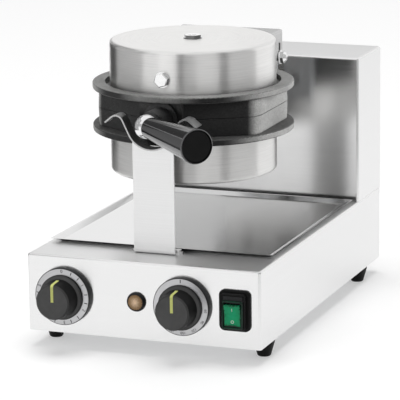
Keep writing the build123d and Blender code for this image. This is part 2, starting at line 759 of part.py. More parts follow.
# Hinge bolts: one through each arm and box side, with a spacer washer between and a cap nut outside
arm_gap = box_half_w - box_t - yoke_half_w
cap_nut_r = 7.0
cap_nut_h = 5.0
cap_seat = arm_gap + box_t + clear
with BuildPart() as hinge_bolts:
    for side in (-1, 1):
        arm_face = Vector(side * yoke_half_w, pivot_y, pivot_z)
        across = Plane(origin=arm_face, x_dir=(side, 0, 0), z_dir=(0, 1, 0))
        along = Plane(origin=arm_face, x_dir=(0, 1, 0), z_dir=(side, 0, 0))
        with BuildSketch(across):
            with BuildLine():
                Polyline(
                    (-yoke_t - 1.0, 0),
                    (-yoke_t - 1.0, pivot_pin_r),
                    (0, pivot_pin_r),
                    (0, arm_r - 1.0),
                    (arm_gap - clear, arm_r - 1.0),
                    (arm_gap - clear, pivot_pin_r),
                    (cap_seat, pivot_pin_r),
                    (cap_seat, cap_nut_r + 0.8),
                    (cap_seat + 1.0, cap_nut_r + 0.8),
                    (cap_seat + 1.0, cap_nut_r - 1.5),
                    (cap_seat + cap_nut_h, cap_nut_r - 1.5),
                    (cap_seat + cap_nut_h + 2.5, cap_nut_r - 3.5),
                    (cap_seat + cap_nut_h + 3.2, 0),
                    close=True,
                )
            make_face()
        revolve(axis=Axis(arm_face, (side, 0, 0)))
        with BuildSketch(along.offset(-yoke_t - 4.5)):
            RegularPolygon(cap_nut_r, 6)
        extrude(amount=4.5)
        with BuildSketch(along.offset(cap_seat + 1.0)):
            RegularPolygon(cap_nut_r, 6)
        extrude(amount=cap_nut_h - 1.0)
save(hinge_bolts, "hinge_bolts")

with BuildPart() as hinge_box_screws:
    for side in (-1, 1):
        with BuildSketch(Plane.XY.offset(box_low_z + box_t)):
            with Locations((side * tab_x, tab_screw_y)):
                Circle(screw_head_r)
        extrude(amount=screw_head_h)
        with BuildSketch(Plane.XY.offset(box_low_z + box_t)):
            with Locations((side * tab_x, tab_screw_y)):
                Circle(screw_r)
        extrude(amount=-box_t - 0.1)
save(hinge_box_screws, "hinge_box_screws")

# Handle: a shaft along the turning axis, a rounded elbow and a tapered steel grip at an angle
socket_depth = 7.0
grip_foot = 8.0
grip_plane = Plane(
    origin=Vector(0, elbow_y, axis_z) + grip_dir * grip_foot, x_dir=(0, 0, 1), z_dir=grip_dir
)
grip_len = grip_reach - grip_foot
with BuildPart() as handle_shaft:
    with BuildSketch(facing_front(0, axis_z, pad_y - 0.5)):
        Circle(shaft_r)
    extrude(amount=pad_y - 0.5 - elbow_y - elbow_r + socket_depth)
save(handle_shaft, "handle_shaft")

with BuildPart() as elbow:
    with Locations((0, elbow_y, axis_z)):
        Sphere(elbow_r)
    split(bisect_by=grip_plane, keep=Keep.BOTTOM)
    with BuildSketch(facing_front(0, axis_z, boss_nose_y)):
        Circle(shaft_r + 2.5)
    extrude(amount=boss_nose_y - elbow_y - elbow_r / 2)
    with BuildSketch(facing_front(0, axis_z, boss_nose_y)):
        Circle(shaft_r + fit)
    extrude(amount=boss_nose_y - elbow_y - elbow_r + socket_depth, mode=Mode.SUBTRACT)
save(elbow, "elbow")

plug_depth = 10.0
plug_lip = 0.6
with BuildPart() as grip:
    with BuildSketch(Plane(origin=grip_plane.origin, x_dir=grip_plane.x_dir, z_dir=grip_plane.y_dir)):
        with BuildLine():
            Polyline(
                (0, 0),
                (grip_start_r - 1.5, 0),
                (grip_start_r, -1.5),
                (grip_end_r, -grip_len + 1.0),
                (grip_end_r - 0.8, -grip_len),
                (grip_end_r - grip_wall, -grip_len),
                (grip_start_r - grip_wall, -3.0),
                (0, -3.0),
                close=True,
            )
        make_face()
    revolve(axis=Axis(grip_plane.origin, grip_dir))
save(grip, "grip")

# End plug: a black disc in the grip's open end, with a short stem inside
with BuildPart() as grip_plug:
    with BuildSketch(grip_plane.offset(grip_len - plug_lip)):
        Circle(grip_end_r - grip_wall - 0.4)
    extrude(amount=-plug_depth, taper=3)
    fillet(grip_plug.faces().sort_by(Axis(grip_plane.origin, grip_dir))[-1].edges(), 0.6)
save(grip_plug, "grip_plug")

# Front post: a bent plate with a foot behind and a round cut in its top that follows the cradle
post_top_z = axis_z - sqrt((cradle_r + cradle_t) ** 2 - (post_w / 2) ** 2)
with BuildPart() as post:
    with BuildSketch(facing_front(0, 0, post_y + post_t)):
        with Locations((0, top_z)):
            Rectangle(post_w, post_top_z - top_z, align=(Align.CENTER, Align.MIN))
        with Locations((0, axis_z)):
            Circle(cradle_r + cradle_t + fit, mode=Mode.SUBTRACT)
    extrude(amount=post_t)
    with BuildSketch(Plane.XY.offset(top_z)):
        with Locations((0, post_y)):
            Rectangle(post_w, post_foot_d, align=(Align.CENTER, Align.MIN))
        with Locations((post_screw_x, post_screw_y), (-post_screw_x, post_screw_y)):
            Circle(post_ear_r)
            Circle(screw_r + 0.1, mode=Mode.SUBTRACT)
    extrude(amount=post_t)
    outer_bend = post.edges().filter_by(Axis.X).group_by(Axis.Z)[0].sort_by(Axis.Y)[0]
    fillet(outer_bend, post_bend_r)
    inner_bend = post.edges().filter_by(Axis.X).filter_by_position(
        Axis.Z, top_z + post_t - fit, top_z + post_t + fit
    )
    fillet(inner_bend.sort_by(Axis.Y)[0], post_bend_r - post_t)
save(post, "post")

# Case screws: one size of pan-head screw for the feet, back cover, pedestal and post
screw_len = 8.0
case_screw_seats = [
    Plane(origin=(x, y, foot_h - foot_seat), x_dir=(1, 0, 0), z_dir=(0, 0, -1)) for x, y in foot_places
]
case_screw_seats += [facing_back(x, z, back_y) for x, z in cover_screws_at]
case_screw_seats += [
    Plane(origin=(x, y, top_z + foot_plate_t), z_dir=(0, 0, 1)) for x, y in pedestal_bolts
]
case_screw_seats += [
    Plane(origin=(x, post_screw_y, top_z + post_t), z_dir=(0, 0, 1)) for x in (-post_screw_x, post_screw_x)
]
with BuildPart() as case_screws:
    for seat in case_screw_seats:
        with BuildSketch(seat):
            Circle(screw_head_r)
        extrude(amount=screw_head_h)
        with BuildSketch(seat):
            Circle(screw_r)
        extrude(amount=-screw_len)
save(case_screws, "case_screws")

# Cradle: a spring strip bent as a trough between two humps, riveted on the post's top
cradle_y = post_y + post_t / 2 - cradle_d / 2
hump_z = hump_above_axis - cradle_t - hump_r
hump_span = sqrt(hump_x**2 + hump_z**2)
# the straight flank is the inner tangent between the trough's circle and the hump's circle
flank_turn = degrees(acos((cradle_r + cradle_t / 2 + hump_r + cradle_t / 2) / hump_span))
hump_turn = degrees(atan2(hump_z, hump_x))
flank_low = hump_turn - flank_turn
trough_line_r = cradle_r + cradle_t / 2
hump_line_r = hump_r + cradle_t / 2
tail_turn = 50.0
tail = 9.0
hump_sweep = 180 + flank_low - tail_turn
with BuildPart() as cradle:
    with BuildSketch(facing_front(0, axis_z, cradle_y + cradle_d)):
        with BuildLine():
            CenterArc((0, 0), trough_line_r, 180 - flank_low, 180 + 2 * flank_low)
            for side in (1, -1):
                reach_x = cos(radians(flank_low))
                reach_z = sin(radians(flank_low))
                low = (side * trough_line_r * reach_x, trough_line_r * reach_z)
                high = (side * (hump_x - hump_line_r * reach_x), hump_z - hump_line_r * reach_z)
                Line(low, high)
                arc_start = 180 + flank_low if side > 0 else -flank_low
                arc = CenterArc((side * hump_x, hump_z), hump_line_r, arc_start, -side * hump_sweep)
                Line(arc @ 1, (arc @ 1) + (arc % 1) * tail)
        trace(line_width=cradle_t)
    extrude(amount=cradle_d)
save(cradle, "cradle")

# Dials: a black bezel ring round a silver scale plate, one for each knob
for dial_name, dial_x in (("timer", timer_x), ("thermostat", thermostat_x)):
    with BuildPart() as bezel:
        with BuildSketch(facing_front(dial_x, control_z, panel_y)):
            Circle(bezel_r)
            Circle(bezel_r - bezel_wall, mode=Mode.SUBTRACT)
        extrude(amount=bezel_h)
        chamfer(bezel.faces().sort_by(Axis.Y)[0].edges().group_by(SortBy.LENGTH)[-1], 1.0)
    save(bezel, f"{dial_name}_bezel")
    with BuildPart() as scale:
        with BuildSketch(facing_front(dial_x, control_z, panel_y)):
            Circle(bezel_r - bezel_wall - 0.2)
            Circle(knob_shaft_r + 3.0, mode=Mode.SUBTRACT)
        extrude(amount=dial_t)
    save(scale, f"{dial_name}_scale")

# Knobs: a hub, a skirt and a tapered body with a slot for the pointer, on the shaft of the part
# behind the panel
knob_back_y = panel_y - dial_t - knob_gap
knob_skirt_h = 4.0
hub_back = knob_gap - 0.4
pointer_depth = 0.8
pointer_in = 2.0
knob_edge = 1.5
pointer_len = knob_face_r - knob_edge - pointer_in - 0.2
shaft_in = 12.0
for dial_name, dial_x in (("timer", timer_x), ("thermostat", thermostat_x)):
    knob_axis = Axis((dial_x, knob_back_y, control_z), (0, -1, 0))
    pointer_slot = Plane(
        origin=(dial_x, knob_back_y - knob_h, control_z), x_dir=(1, 0, 0), z_dir=(0, -1, 0)
    )
    with BuildPart() as knob:
        with BuildSketch(Plane(origin=(dial_x, knob_back_y, control_z), x_dir=(1, 0, 0), z_dir=(0, 0, 1))):
            with BuildLine():
                Polyline(
                    (knob_shaft_r + 0.1, hub_back),
                    (knob_hub_r, hub_back),
                    (knob_hub_r, 0),
                    (knob_skirt_r, 0),
                    (knob_skirt_r, -knob_skirt_h + 1.0),
                    (knob_skirt_r - 1.0, -knob_skirt_h),
                    (knob_face_r + 1.5, -knob_skirt_h - 1.0),
                    (knob_face_r, -knob_h + knob_edge),
                    (knob_face_r - knob_edge, -knob_h),
                    (0, -knob_h),
                    (0, -shaft_in),
                    (knob_shaft_r + 0.1, -shaft_in),
                    close=True,
                )
            make_face()
        revolve(axis=knob_axis)
        with BuildSketch(pointer_slot):
            with Locations((0, pointer_in)):
                Rectangle(pointer_w, knob_face_r, align=(Align.CENTER, Align.MIN))
        extrude(amount=-pointer_depth, mode=Mode.SUBTRACT)
    save(knob, f"{dial_name}_knob")
    with BuildPart() as pointer:
        with BuildSketch(pointer_slot):
            with Locations((0, pointer_in + 0.1)):
                Rectangle(pointer_w - 0.2, pointer_len, align=(Align.CENTER, Align.MIN))
        extrude(amount=-pointer_depth)
    save(pointer, f"{dial_name}_pointer")
    with BuildPart() as knob_shaft:
        with BuildSketch(facing_front(dial_x, control_z, wall_y + 6.0)):
            Circle(knob_shaft_r)
        extrude(amount=wall_y + 6.0 - knob_back_y + shaft_in - 0.5)
    save(knob_shaft, f"{dial_name}_shaft")

# Timer and thermostat bodies: clamped behind the panel, bored for the knob shafts
timer_box = 42.0
timer_deep = 26.0
thermostat_can_r = 19.0
thermostat_deep = 22.0
neck_r = 5.5
with BuildPart() as timer_body:
    with BuildSketch(facing_front(timer_x, control_z, wall_y + timer_deep)):
        RectangleRounded(timer_box, timer_box, 3.0)
    extrude(amount=timer_deep)
    with BuildSketch(facing_front(timer_x, control_z, wall_y)):
        Circle(neck_r)
    extrude(amount=sheet)
    with BuildSketch(facing_front(timer_x, control_z, wall_y + 8.0)):
        Circle(knob_shaft_r + fit)
    extrude(amount=8.0 + sheet, mode=Mode.SUBTRACT)
save(timer_body, "timer_body")

with BuildPart() as thermostat_body:
    with BuildSketch(facing_front(thermostat_x, control_z, wall_y + thermostat_deep)):
        Circle(thermostat_can_r)
    extrude(amount=thermostat_deep - 1.5)
    with BuildSketch(facing_front(thermostat_x, control_z, wall_y + 1.5)):
        SlotOverall(50.0, 16.0)
    extrude(amount=1.5)
    with BuildSketch(facing_front(thermostat_x, control_z, wall_y)):
        Circle(neck_r)
    extrude(amount=sheet)
    with BuildSketch(facing_front(thermostat_x, control_z, wall_y + 8.0)):
        Circle(knob_shaft_r + fit)
    extrude(amount=8.0 + sheet, mode=Mode.SUBTRACT)
save(thermostat_body, "thermostat_body")

# Pilot lamp: black bezel, domed lens and the lamp's body behind the panel
with BuildPart() as lamp_bezel:
    with BuildSketch(Plane(origin=(lamp_x, panel_y, control_z), x_dir=(1, 0, 0), z_dir=(0, 0, 1))):
        with BuildLine():
            Polyline(
                (lamp_lens_r + 0.1, sheet),
                (lamp_r - 2.2, sheet),
                (lamp_r - 2.2, 0),
                (lamp_r, 0),
                (lamp_r, -1.0),
                (lamp_lens_r + 1.6, -2.6),
                (lamp_lens_r + 0.1, -2.6),
                close=True,
            )
        make_face()
    revolve(axis=Axis((lamp_x, panel_y, control_z), (0, 1, 0)))
save(lamp_bezel, "lamp_bezel")

with BuildPart() as lamp_lens:
    with BuildSketch(facing_front(lamp_x, control_z, wall_y)):
        Circle(lamp_lens_r)
    extrude(amount=sheet + 3.0)
    fillet(lamp_lens.faces().sort_by(Axis.Y)[0].edges(), 1.5)
save(lamp_lens, "lamp_lens")

with BuildPart() as lamp_body:
    with BuildSketch(facing_front(lamp_x, control_z, wall_y + 22.0)):
        Circle(lamp_r - 1.0)
    extrude(amount=22.0)
save(lamp_body, "lamp_body")

# Mains switch: a soft stepped boot on the panel, the switch case inside it and a rocker
rocker_clear = 0.6
rocker_pivot_in = 3.0
rocker_end = 5.4
rocker_valley = 4.0
rocker_pin_r = 1.5
rocker_pin_in = 1.2
case_deep = 22.0
boot_wall = 1.7
switch_front_y = panel_y - switch_stand
rocker_pivot_y = switch_front_y + rocker_pivot_in
rocker_middle = Plane(origin=(switch_x, rocker_pivot_y, rocker_z), x_dir=(0, 1, 0), z_dir=(1, 0, 0))
with BuildPart() as switch_boot:
    with BuildSketch(facing_front(switch_x, control_z, panel_y)):
        RectangleRounded(switch_w, switch_h, 6.0)
    extrude(amount=switch_lip)
    fillet(switch_boot.faces().sort_by(Axis.Y)[0].edges(), 1.5)
    with BuildSketch(facing_front(switch_x, control_z, panel_y)):
        RectangleRounded(window_w + 2 * boot_wall, window_h + 2 * boot_wall, 3.0)
    extrude(amount=switch_stand)
    fillet(switch_boot.faces().sort_by(Axis.Y)[0].edges(), 1.0)
    with BuildSketch(facing_front(switch_x, control_z, panel_y)):
        Rectangle(window_w, window_h)
    extrude(amount=switch_stand, mode=Mode.SUBTRACT)
save(switch_boot, "switch_boot")

with BuildPart() as switch_case:
    with BuildSketch(facing_front(switch_x, control_z, wall_y + case_deep)):
        Rectangle(window_w - 1.0, window_h - 1.0)
    extrude(amount=case_deep + sheet + switch_stand + 0.8)
    chamfer(switch_case.faces().sort_by(Axis.Y)[0].edges(), 0.6)
    with BuildSketch(facing_front(switch_x, rocker_z, panel_y + 4.0)):
        Rectangle(rocker_w + rocker_clear, rocker_h + 2 * rocker_clear)
    extrude(amount=switch_stand + 6.0, mode=Mode.SUBTRACT)
    with BuildSketch(rocker_middle):
        Circle(rocker_pin_r + fit)
    extrude(amount=rocker_w / 2 + rocker_pin_in + clear, both=True, mode=Mode.SUBTRACT)
save(switch_case, "switch_case")

# Rocker: two flat finger faces that meet in a shallow valley, tilted towards its lower half,
# on a pin that goes into both sides of the case
rocker_plane = Plane(
    origin=(switch_x, rocker_pivot_y, rocker_z),
    x_dir=(0, -sin(radians(rocker_tilt)), cos(radians(rocker_tilt))),
    z_dir=(1, 0, 0),
)
with BuildPart() as rocker:
    with BuildSketch(rocker_plane):
        with BuildLine():
            Polyline(
                (-rocker_h / 2, rocker_end),
                (0, rocker_valley),
                (rocker_h / 2, rocker_end),
                (rocker_h / 2, 1.0),
                (4.0, -4.0),
                (-4.0, -4.0),
                (-rocker_h / 2, 1.0),
                close=True,
            )
        make_face()
    extrude(amount=rocker_w / 2, both=True)
    with BuildSketch(rocker_middle):
        Circle(rocker_pin_r)
    extrude(amount=rocker_w / 2 + rocker_pin_in, both=True)
save(rocker, "rocker")

# Terminal block and cable gland at the back of the base
block_y = back_y - 60.0
with BuildPart() as terminal_block:
    with BuildSketch(Plane.XY.offset(base_z + bottom_t)):
        with Locations((gland_x, block_y)):
            Rectangle(40.0, 22.0)
    extrude(amount=18.0)
    with BuildSketch(Plane.XY.offset(base_z + bottom_t + 18.0)):
        with Locations((gland_x, block_y)):
            with GridLocations(12.0, 10.0, 3, 2):
                Circle(2.5)
    extrude(amount=-8.0, mode=Mode.SUBTRACT)
save(terminal_block, "terminal_block")

cord_hole_r = 4.0
with BuildPart() as cable_gland:
    with BuildSketch(facing_back(gland_x, gland_z, back_y)):
        RegularPolygon(gland_r + 2.5, 6)
    extrude(amount=6.0)
    with BuildSketch(facing_back(gland_x, gland_z, back_y + 6.0)):
        Circle(gland_r)
    extrude(amount=gland_out - 6.0)
    fillet(cable_gland.faces().sort_by(Axis.Y)[-1].edges(), 3.0)
    with BuildSketch(facing_back(gland_x, gland_z, back_y)):
        Circle(gland_r - 1.2)
    extrude(amount=-sheet - 8.0)
    with BuildSketch(facing_back(gland_x, gland_z, back_y + gland_out)):
        Circle(cord_hole_r)
    extrude(amount=-gland_out - sheet - 8.0, mode=Mode.SUBTRACT)
save(cable_gland, "cable_gland")

with BuildPart() as gland_nut:
    with BuildSketch(facing_back(gland_x, gland_z, back_y - sheet)):
        RegularPolygon(gland_r + 3.0, 6)
        Circle(gland_r - 1.1, mode=Mode.SUBTRACT)
    extrude(amount=-5.0)
save(gland_nut, "gland_nut")

# Tray: a shallow pan with sloping sides that lies on the base top under the iron
tray_mid_y = panel_y + (tray_front + tray_rear) / 2
tray_len = tray_rear - tray_front
with BuildPart() as tray:
    with BuildSketch(Plane.XY.offset(top_z)):
        with Locations((0, tray_mid_y)):
            Rectangle(2 * (tray_half_w - tray_slope), tray_len - 2 * tray_slope)
    with BuildSketch(Plane.XY.offset(top_z + tray_rise)):
        with Locations((0, tray_mid_y)):
            Rectangle(2 * tray_half_w, tray_len)
    loft()
    offset(amount=-tray_t, openings=tray.faces().sort_by(Axis.Z)[-1], kind=Kind.INTERSECTION)
save(tray, "tray")
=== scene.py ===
import bmesh
import bpy
import numpy as np
from mathutils import Matrix, Vector


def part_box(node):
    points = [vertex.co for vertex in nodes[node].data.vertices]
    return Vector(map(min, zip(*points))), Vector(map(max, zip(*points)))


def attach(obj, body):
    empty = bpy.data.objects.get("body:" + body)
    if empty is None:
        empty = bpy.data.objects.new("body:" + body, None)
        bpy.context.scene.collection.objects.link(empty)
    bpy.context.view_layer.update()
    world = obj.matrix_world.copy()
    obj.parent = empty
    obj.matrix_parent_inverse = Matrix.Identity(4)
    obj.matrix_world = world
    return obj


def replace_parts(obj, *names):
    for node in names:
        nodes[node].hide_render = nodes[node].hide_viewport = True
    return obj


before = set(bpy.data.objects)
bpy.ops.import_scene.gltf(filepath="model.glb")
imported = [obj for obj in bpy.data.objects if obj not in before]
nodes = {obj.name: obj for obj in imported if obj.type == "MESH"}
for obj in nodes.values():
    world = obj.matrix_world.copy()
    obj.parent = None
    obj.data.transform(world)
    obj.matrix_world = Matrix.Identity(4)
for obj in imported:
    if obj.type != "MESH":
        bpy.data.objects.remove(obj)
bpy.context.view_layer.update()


def middle(name):
    """The middle of a node's box, as three numbers."""
    low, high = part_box(name)
    return tuple(float(c) for c in (low + high) / 2)


# Shader building blocks


def feed(tree, node, inputs):
    """Gives a node its inputs, each a plain value or the output of another node."""
    for name, value in inputs.items():
        if isinstance(value, bpy.types.NodeSocket):
            tree.links.new(value, node.inputs[name])
        else:
            node.inputs[name].default_value = value


def put(tree, kind, inputs=None, **settings):
    """Adds a shader node with its settings and inputs."""
    made = tree.nodes.new("ShaderNode" + kind)
    for name, value in settings.items():
        setattr(made, name, value)
    feed(tree, made, inputs or {})
    return made


def empty_finish(name):
    """A new material without nodes, and its tree."""
    made = bpy.data.materials.new(name)
    made.use_nodes = True
    made.node_tree.nodes.clear()
    return made, made.node_tree


def finish_named(name):
    """A new material with only its main shader, and the tree it is in."""
    made, tree = empty_finish(name)
    shader = put(tree, "BsdfPrincipled")
    put(tree, "OutputMaterial", {"Surface": shader.outputs[0]})
    return made, tree, shader


def places(tree, scale=(1, 1, 1)):
    """Object coordinates stretched by scale."""
    here = put(tree, "TexCoord")
    return put(tree, "Mapping", {"Vector": here.outputs["Object"], "Scale": scale}).outputs[0]


def noise(tree, vector, scale=1.0, detail=2.0, rough=0.5):
    """Fractal noise between 0 and 1 at a vector."""
    inputs = {"Vector": vector, "Scale": scale, "Detail": detail, "Roughness": rough}
    return put(tree, "TexNoise", inputs).outputs[0]


def spread(tree, value, low, high, from_low=0.3, from_high=0.7):
    """Maps the part of a pattern from from_low to from_high onto low to high, clamped."""
    return put(tree, "MapRange", {0: value, 1: from_low, 2: from_high, 3: low, 4: high}).outputs[0]


def rgba(colour):
    """A colour input: three numbers get their alpha, and another node's output stays as it is."""
    return colour if isinstance(colour, bpy.types.NodeSocket) else (*colour, 1)


def shade(tree, share, first, second, how="MIX"):
    """A colour from first to second, by share."""
    inputs = {0: share, 6: rgba(first), 7: rgba(second)}
    return put(tree, "Mix", inputs, data_type="RGBA", blend_type=how, clamp_factor=True).outputs[2]


def tinted(colour, factor, lift=0.0):
    """A colour's three numbers times a factor, plus a lift."""
    return [c * factor + lift for c in colour]


def math(tree, how, a, b=0.0):
    """One arithmetic step."""
    return put(tree, "Math", {0: a, 1: b}, operation=how).outputs[0]


def times(tree, a, b):
    """a times b."""
    return math(tree, "MULTIPLY", a, b)


def vector_math(tree, how, a, b=(0, 0, 0)):
    """One step on vectors."""
    return put(tree, "VectorMath", {0: a, 1: b}, operation=how).outputs[0]


def length(tree, vector):
    """A vector's length."""
    return put(tree, "VectorMath", {0: vector}, operation="LENGTH").outputs[1]


def three_parts(tree, vector):
    """A vector's x, y and z."""
    return put(tree, "SeparateXYZ", {0: vector}).outputs


def bump(tree, shader, height, strength, distance):
    """Feeds a height pattern to the shader's normal."""
    inputs = {"Height": height, "Strength": strength, "Distance": distance}
    made = put(tree, "Bump", inputs)
    tree.links.new(made.outputs[0], shader.inputs["Normal"])


def level_share(tree):
    """1 on level faces and 0 on upright ones, from the piece's own normal, and that normal."""
    normal = put(tree, "TexCoord").outputs["Normal"]
    up = three_parts(tree, normal)[2]
    return spread(tree, math(tree, "ABSOLUTE", up), 0.0, 1.0, 0.6, 0.8), normal


def lay_grain(tree, shader, level, normal, along_side):
    """Stretches reflections across the brushed lines, which run along_side on upright faces and
    along X on level ones. The line's direction is crossed with the normal and taken from the
    piece's own space to the world."""
    along = put(tree, "Mix", {0: level, 4: along_side, 5: (1, 0, 0)}, data_type="VECTOR").outputs[1]
    across = vector_math(tree, "CROSS_PRODUCT", normal, along)
    spaces = {"vector_type": "VECTOR", "convert_from": "OBJECT", "convert_to": "WORLD"}
    turned = put(tree, "VectorTransform", {0: across}, **spaces).outputs[0]
    tree.links.new(turned, shader.inputs["Tangent"])


# Finishes

# Scales of the line patterns across and along the lines, and their depth in metres
LINE_FINE = 1500
LINE_LONG = 5
RING_FINE = 1400.0
RING_LONG = 2.2
LINE_DEEP = 0.00001


def brushed_sheet(name, colour, rough, grain=0.8, streak=1.0, level_rough=0.0):
    """Sheet steel brushed in straight level lines: fine streaks in colour, gloss and height. The
    level faces may be rougher by level_rough."""
    made, tree, shader = finish_named(name)
    level, normal = level_share(tree)
    side = noise(tree, places(tree, (LINE_LONG, LINE_LONG, LINE_FINE)), detail=4.0, rough=0.6)
    top = noise(tree, places(tree, (LINE_LONG, LINE_FINE, LINE_LONG)), detail=4.0, rough=0.6)
    lines = put(tree, "Mix", {0: level, 2: side, 3: top}).outputs[0]
    clouds = noise(tree, places(tree), scale=14.0, detail=3.0)
    dark, light = tinted(colour, 1 - 0.06 * streak), tinted(colour, 1 + 0.02 * streak)
    lined = spread(tree, lines, rough - 0.02 * streak, rough + 0.03 * streak)
    gloss = math(tree, "ADD", lined, spread(tree, clouds, -0.012, 0.014))
    gloss = math(tree, "ADD", gloss, times(tree, level, level_rough))
    feed(tree, shader, {
        "Base Color": shade(tree, spread(tree, lines, 0, 1), dark, light),
        "Roughness": gloss,
        "Metallic": 1.0,
        "Anisotropic": grain,
    })
    bump(tree, shader, lines, strength=0.2 * streak, distance=LINE_DEEP)
    along_side = vector_math(tree, "CROSS_PRODUCT", (0, 0, 1), normal)
    lay_grain(tree, shader, level, normal, along_side)
    return made


def spun_steel(name, colour, rough, centre):
    """Spun steel: fine rings round an upright axis through centre, on the wall and the lid. The
    pattern's place is the sine and cosine of the turn about that axis, and the height on the wall
    or the radius on the lid."""
    made, tree, shader = finish_named(name)
    level, normal = level_share(tree)
    out = vector_math(tree, "SUBTRACT", put(tree, "TexCoord").outputs["Object"], centre)
    x, y, z = three_parts(tree, out)
    radius = length(tree, put(tree, "CombineXYZ", {0: x, 1: y}).outputs[0])
    ring_place = put(tree, "Mix", {0: level, 2: z, 3: radius}).outputs[0]
    turn = math(tree, "ARCTAN2", y, x)
    wrapped = put(tree, "CombineXYZ", {
        0: times(tree, math(tree, "SINE", turn), RING_LONG),
        1: times(tree, math(tree, "COSINE", turn), RING_LONG),
        2: times(tree, ring_place, RING_FINE),
    }).outputs[0]
    lines = noise(tree, wrapped, detail=3.0)
    clouds = noise(tree, places(tree), scale=16.0, detail=3.0)
    lined = spread(tree, lines, rough - 0.04, rough + 0.05)
    feed(tree, shader, {
        "Base Color": shade(tree, spread(tree, lines, 0, 1), tinted(colour, 0.92), tinted(colour, 1.05)),
        "Roughness": math(tree, "ADD", lined, spread(tree, clouds, -0.02, 0.02)),
        "Metallic": 1.0,
        "Anisotropic": 0.92,
    })
    bump(tree, shader, lines, strength=0.25, distance=LINE_DEEP)
    around = vector_math(tree, "CROSS_PRODUCT", (0, 0, 1), out)
    lay_grain(tree, shader, level, normal, around)
    return made


def plain_metal(name, colour, rough, scratch=0.04):
    """Bright or dull metal with faint handling marks in its gloss."""
    made, tree, shader = finish_named(name)
    marks = noise(tree, places(tree), scale=60.0, detail=4.0, rough=0.6)
    fine = noise(tree, places(tree), scale=1200.0)
    marked = spread(tree, marks, rough, rough + scratch)
    feed(tree, shader, {
        "Base Color": shade(tree, spread(tree, marks, 0, 1), tinted(colour, 0.92), colour),
        "Roughness": math(tree, "ADD", marked, spread(tree, fine, 0, 0.02)),
        "Metallic": 1.0,
    })
    return made


def dark_sided(name, top, side, rough):
    """Metal with painted light: bright on level faces as a painted highlight and dark on upright ones as
    painted shade, as the drums' nuts show.
    """
    made, tree, shader = finish_named(name)
    level, _ = level_share(tree)
    marks = noise(tree, places(tree), scale=60.0, detail=4.0, rough=0.6)
    feed(tree, shader, {
        # Painted highlight on the level faces and painted shade on the upright ones
        "Base Color": shade(tree, level, side, top),
        "Roughness": spread(tree, marks, rough, rough + 0.05),
        "Metallic": 1.0,
    })
    return made


# Where the castings' painted highlight shares rise or fall, in metres from the middle plane, along Y or
# up
FACET_ASIDE = (0.055, 0.08)
UPPER_FLANGE_HIGH = (0.225, 0.25)
SHOULDER_ASIDE = (0.02, 0.045)
SHOULDER_FRONT = (-0.125, -0.112)
SHOULDER_HIGH = (0.236, 0.256)
# How near another face darkens a seam with painted shade, in metres, and the painted shade's colour
SEAM_SHADE_REACH = 0.003
SEAM_PAINTED_SHADE = (0.002, 0.002, 0.002)


def wiped_share(tree):
    """Where a casting gets a painted highlight for the light that falls on it: its side facets, by the
    normal's sideways part and the distance from the middle plane; its flange and rim, by the normal's
    upright part, and less on the lower plate; and the shoulder above the handle's boss, by place alone."""
    here = put(tree, "TexCoord")
    normal = three_parts(tree, here.outputs["Normal"])
    place = three_parts(tree, here.outputs["Object"])
    aside = math(tree, "ABSOLUTE", place[0])
    facet = spread(tree, math(tree, "ABSOLUTE", normal[0]), 0.0, 1.0, 0.6, 0.9)
    facet = times(tree, facet, spread(tree, aside, 0.0, 1.0, *FACET_ASIDE))
    flange = spread(tree, math(tree, "ABSOLUTE", normal[2]), 0.0, 1.0, 0.5, 0.95)
    flange = times(tree, flange, spread(tree, place[2], 0.3, 1.0, *UPPER_FLANGE_HIGH))
    shoulder = spread(tree, aside, 1.0, 0.0, *SHOULDER_ASIDE)
    shoulder = times(tree, shoulder, spread(tree, place[1], 1.0, 0.0, *SHOULDER_FRONT))
    shoulder = times(tree, shoulder, spread(tree, place[2], 0.0, 0.8, *SHOULDER_HIGH))
    return math(tree, "MAXIMUM", math(tree, "MAXIMUM", facet, flange), shoulder)


def cast_finish(name, sooty, highlight_tone):
    """Dark coated casting with a sandy skin: sooty in front and behind, painted paler as a painted
    highlight where light falls on it, and painted black as painted shade in its corners and seams, where
    the faces near by close it in."""
    made, tree, shader = finish_named(name)
    sand = noise(tree, places(tree), scale=620.0, detail=3.0, rough=0.65)
    pebbles = noise(tree, places(tree), scale=240.0)
    patches = noise(tree, places(tree), scale=22.0, detail=3.0)
    specks = times(tree, spread(tree, patches, 0.5, 1.0), spread(tree, sand, 0, 1))
    # Painted highlight: the casting is painted paler on its side facets, flange and shoulder, where
    # light falls
    painted_highlight = times(tree, wiped_share(tree), spread(tree, patches, 0.75, 1.0))
    soot = shade(tree, specks, tinted(sooty, 0.6), tinted(sooty, 1.8))
    # The paler colour of the painted highlight
    metal = shade(tree, specks, tinted(highlight_tone, 0.7), tinted(highlight_tone, 1.3))
    skin = shade(tree, painted_highlight, soot, metal)
    # Painted shade: corners and seams are painted black where other faces close them in
    open_face = put(tree, "AmbientOcclusion", {"Distance": SEAM_SHADE_REACH}, samples=6).outputs[1]
    unshaded_share = spread(tree, open_face, 0.1, 1.0, 0.3, 0.7)
    feed(tree, shader, {
        "Base Color": shade(tree, unshaded_share, SEAM_PAINTED_SHADE, skin),
        "Roughness": spread(tree, pebbles, 0.43, 0.56),
        "Specular IOR Level": 0.1,
    })
    height = math(tree, "ADD", sand, times(tree, pebbles, 1.5))
    bump(tree, shader, height, strength=0.6, distance=0.00015)
    return made


def moulded(name, colour, rough, skin=0.15, gloss=0.45):
    """Moulded plastic, rubber or paint with a fine even texture and a little dust in its gloss."""
    made, tree, shader = finish_named(name)
    grain = noise(tree, places(tree), scale=700.0)
    patches = noise(tree, places(tree), scale=40.0, detail=3.0)
    feed(tree, shader, {
        "Base Color": shade(tree, spread(tree, patches, 0, 1), colour, tinted(colour, 1.25, 0.002)),
        "Roughness": spread(tree, patches, rough - 0.03, rough + 0.05),
        "Specular IOR Level": gloss,
    })
    bump(tree, shader, grain, strength=skin, distance=0.00005)
    return made


KNOB_RING_GAP = 0.0011


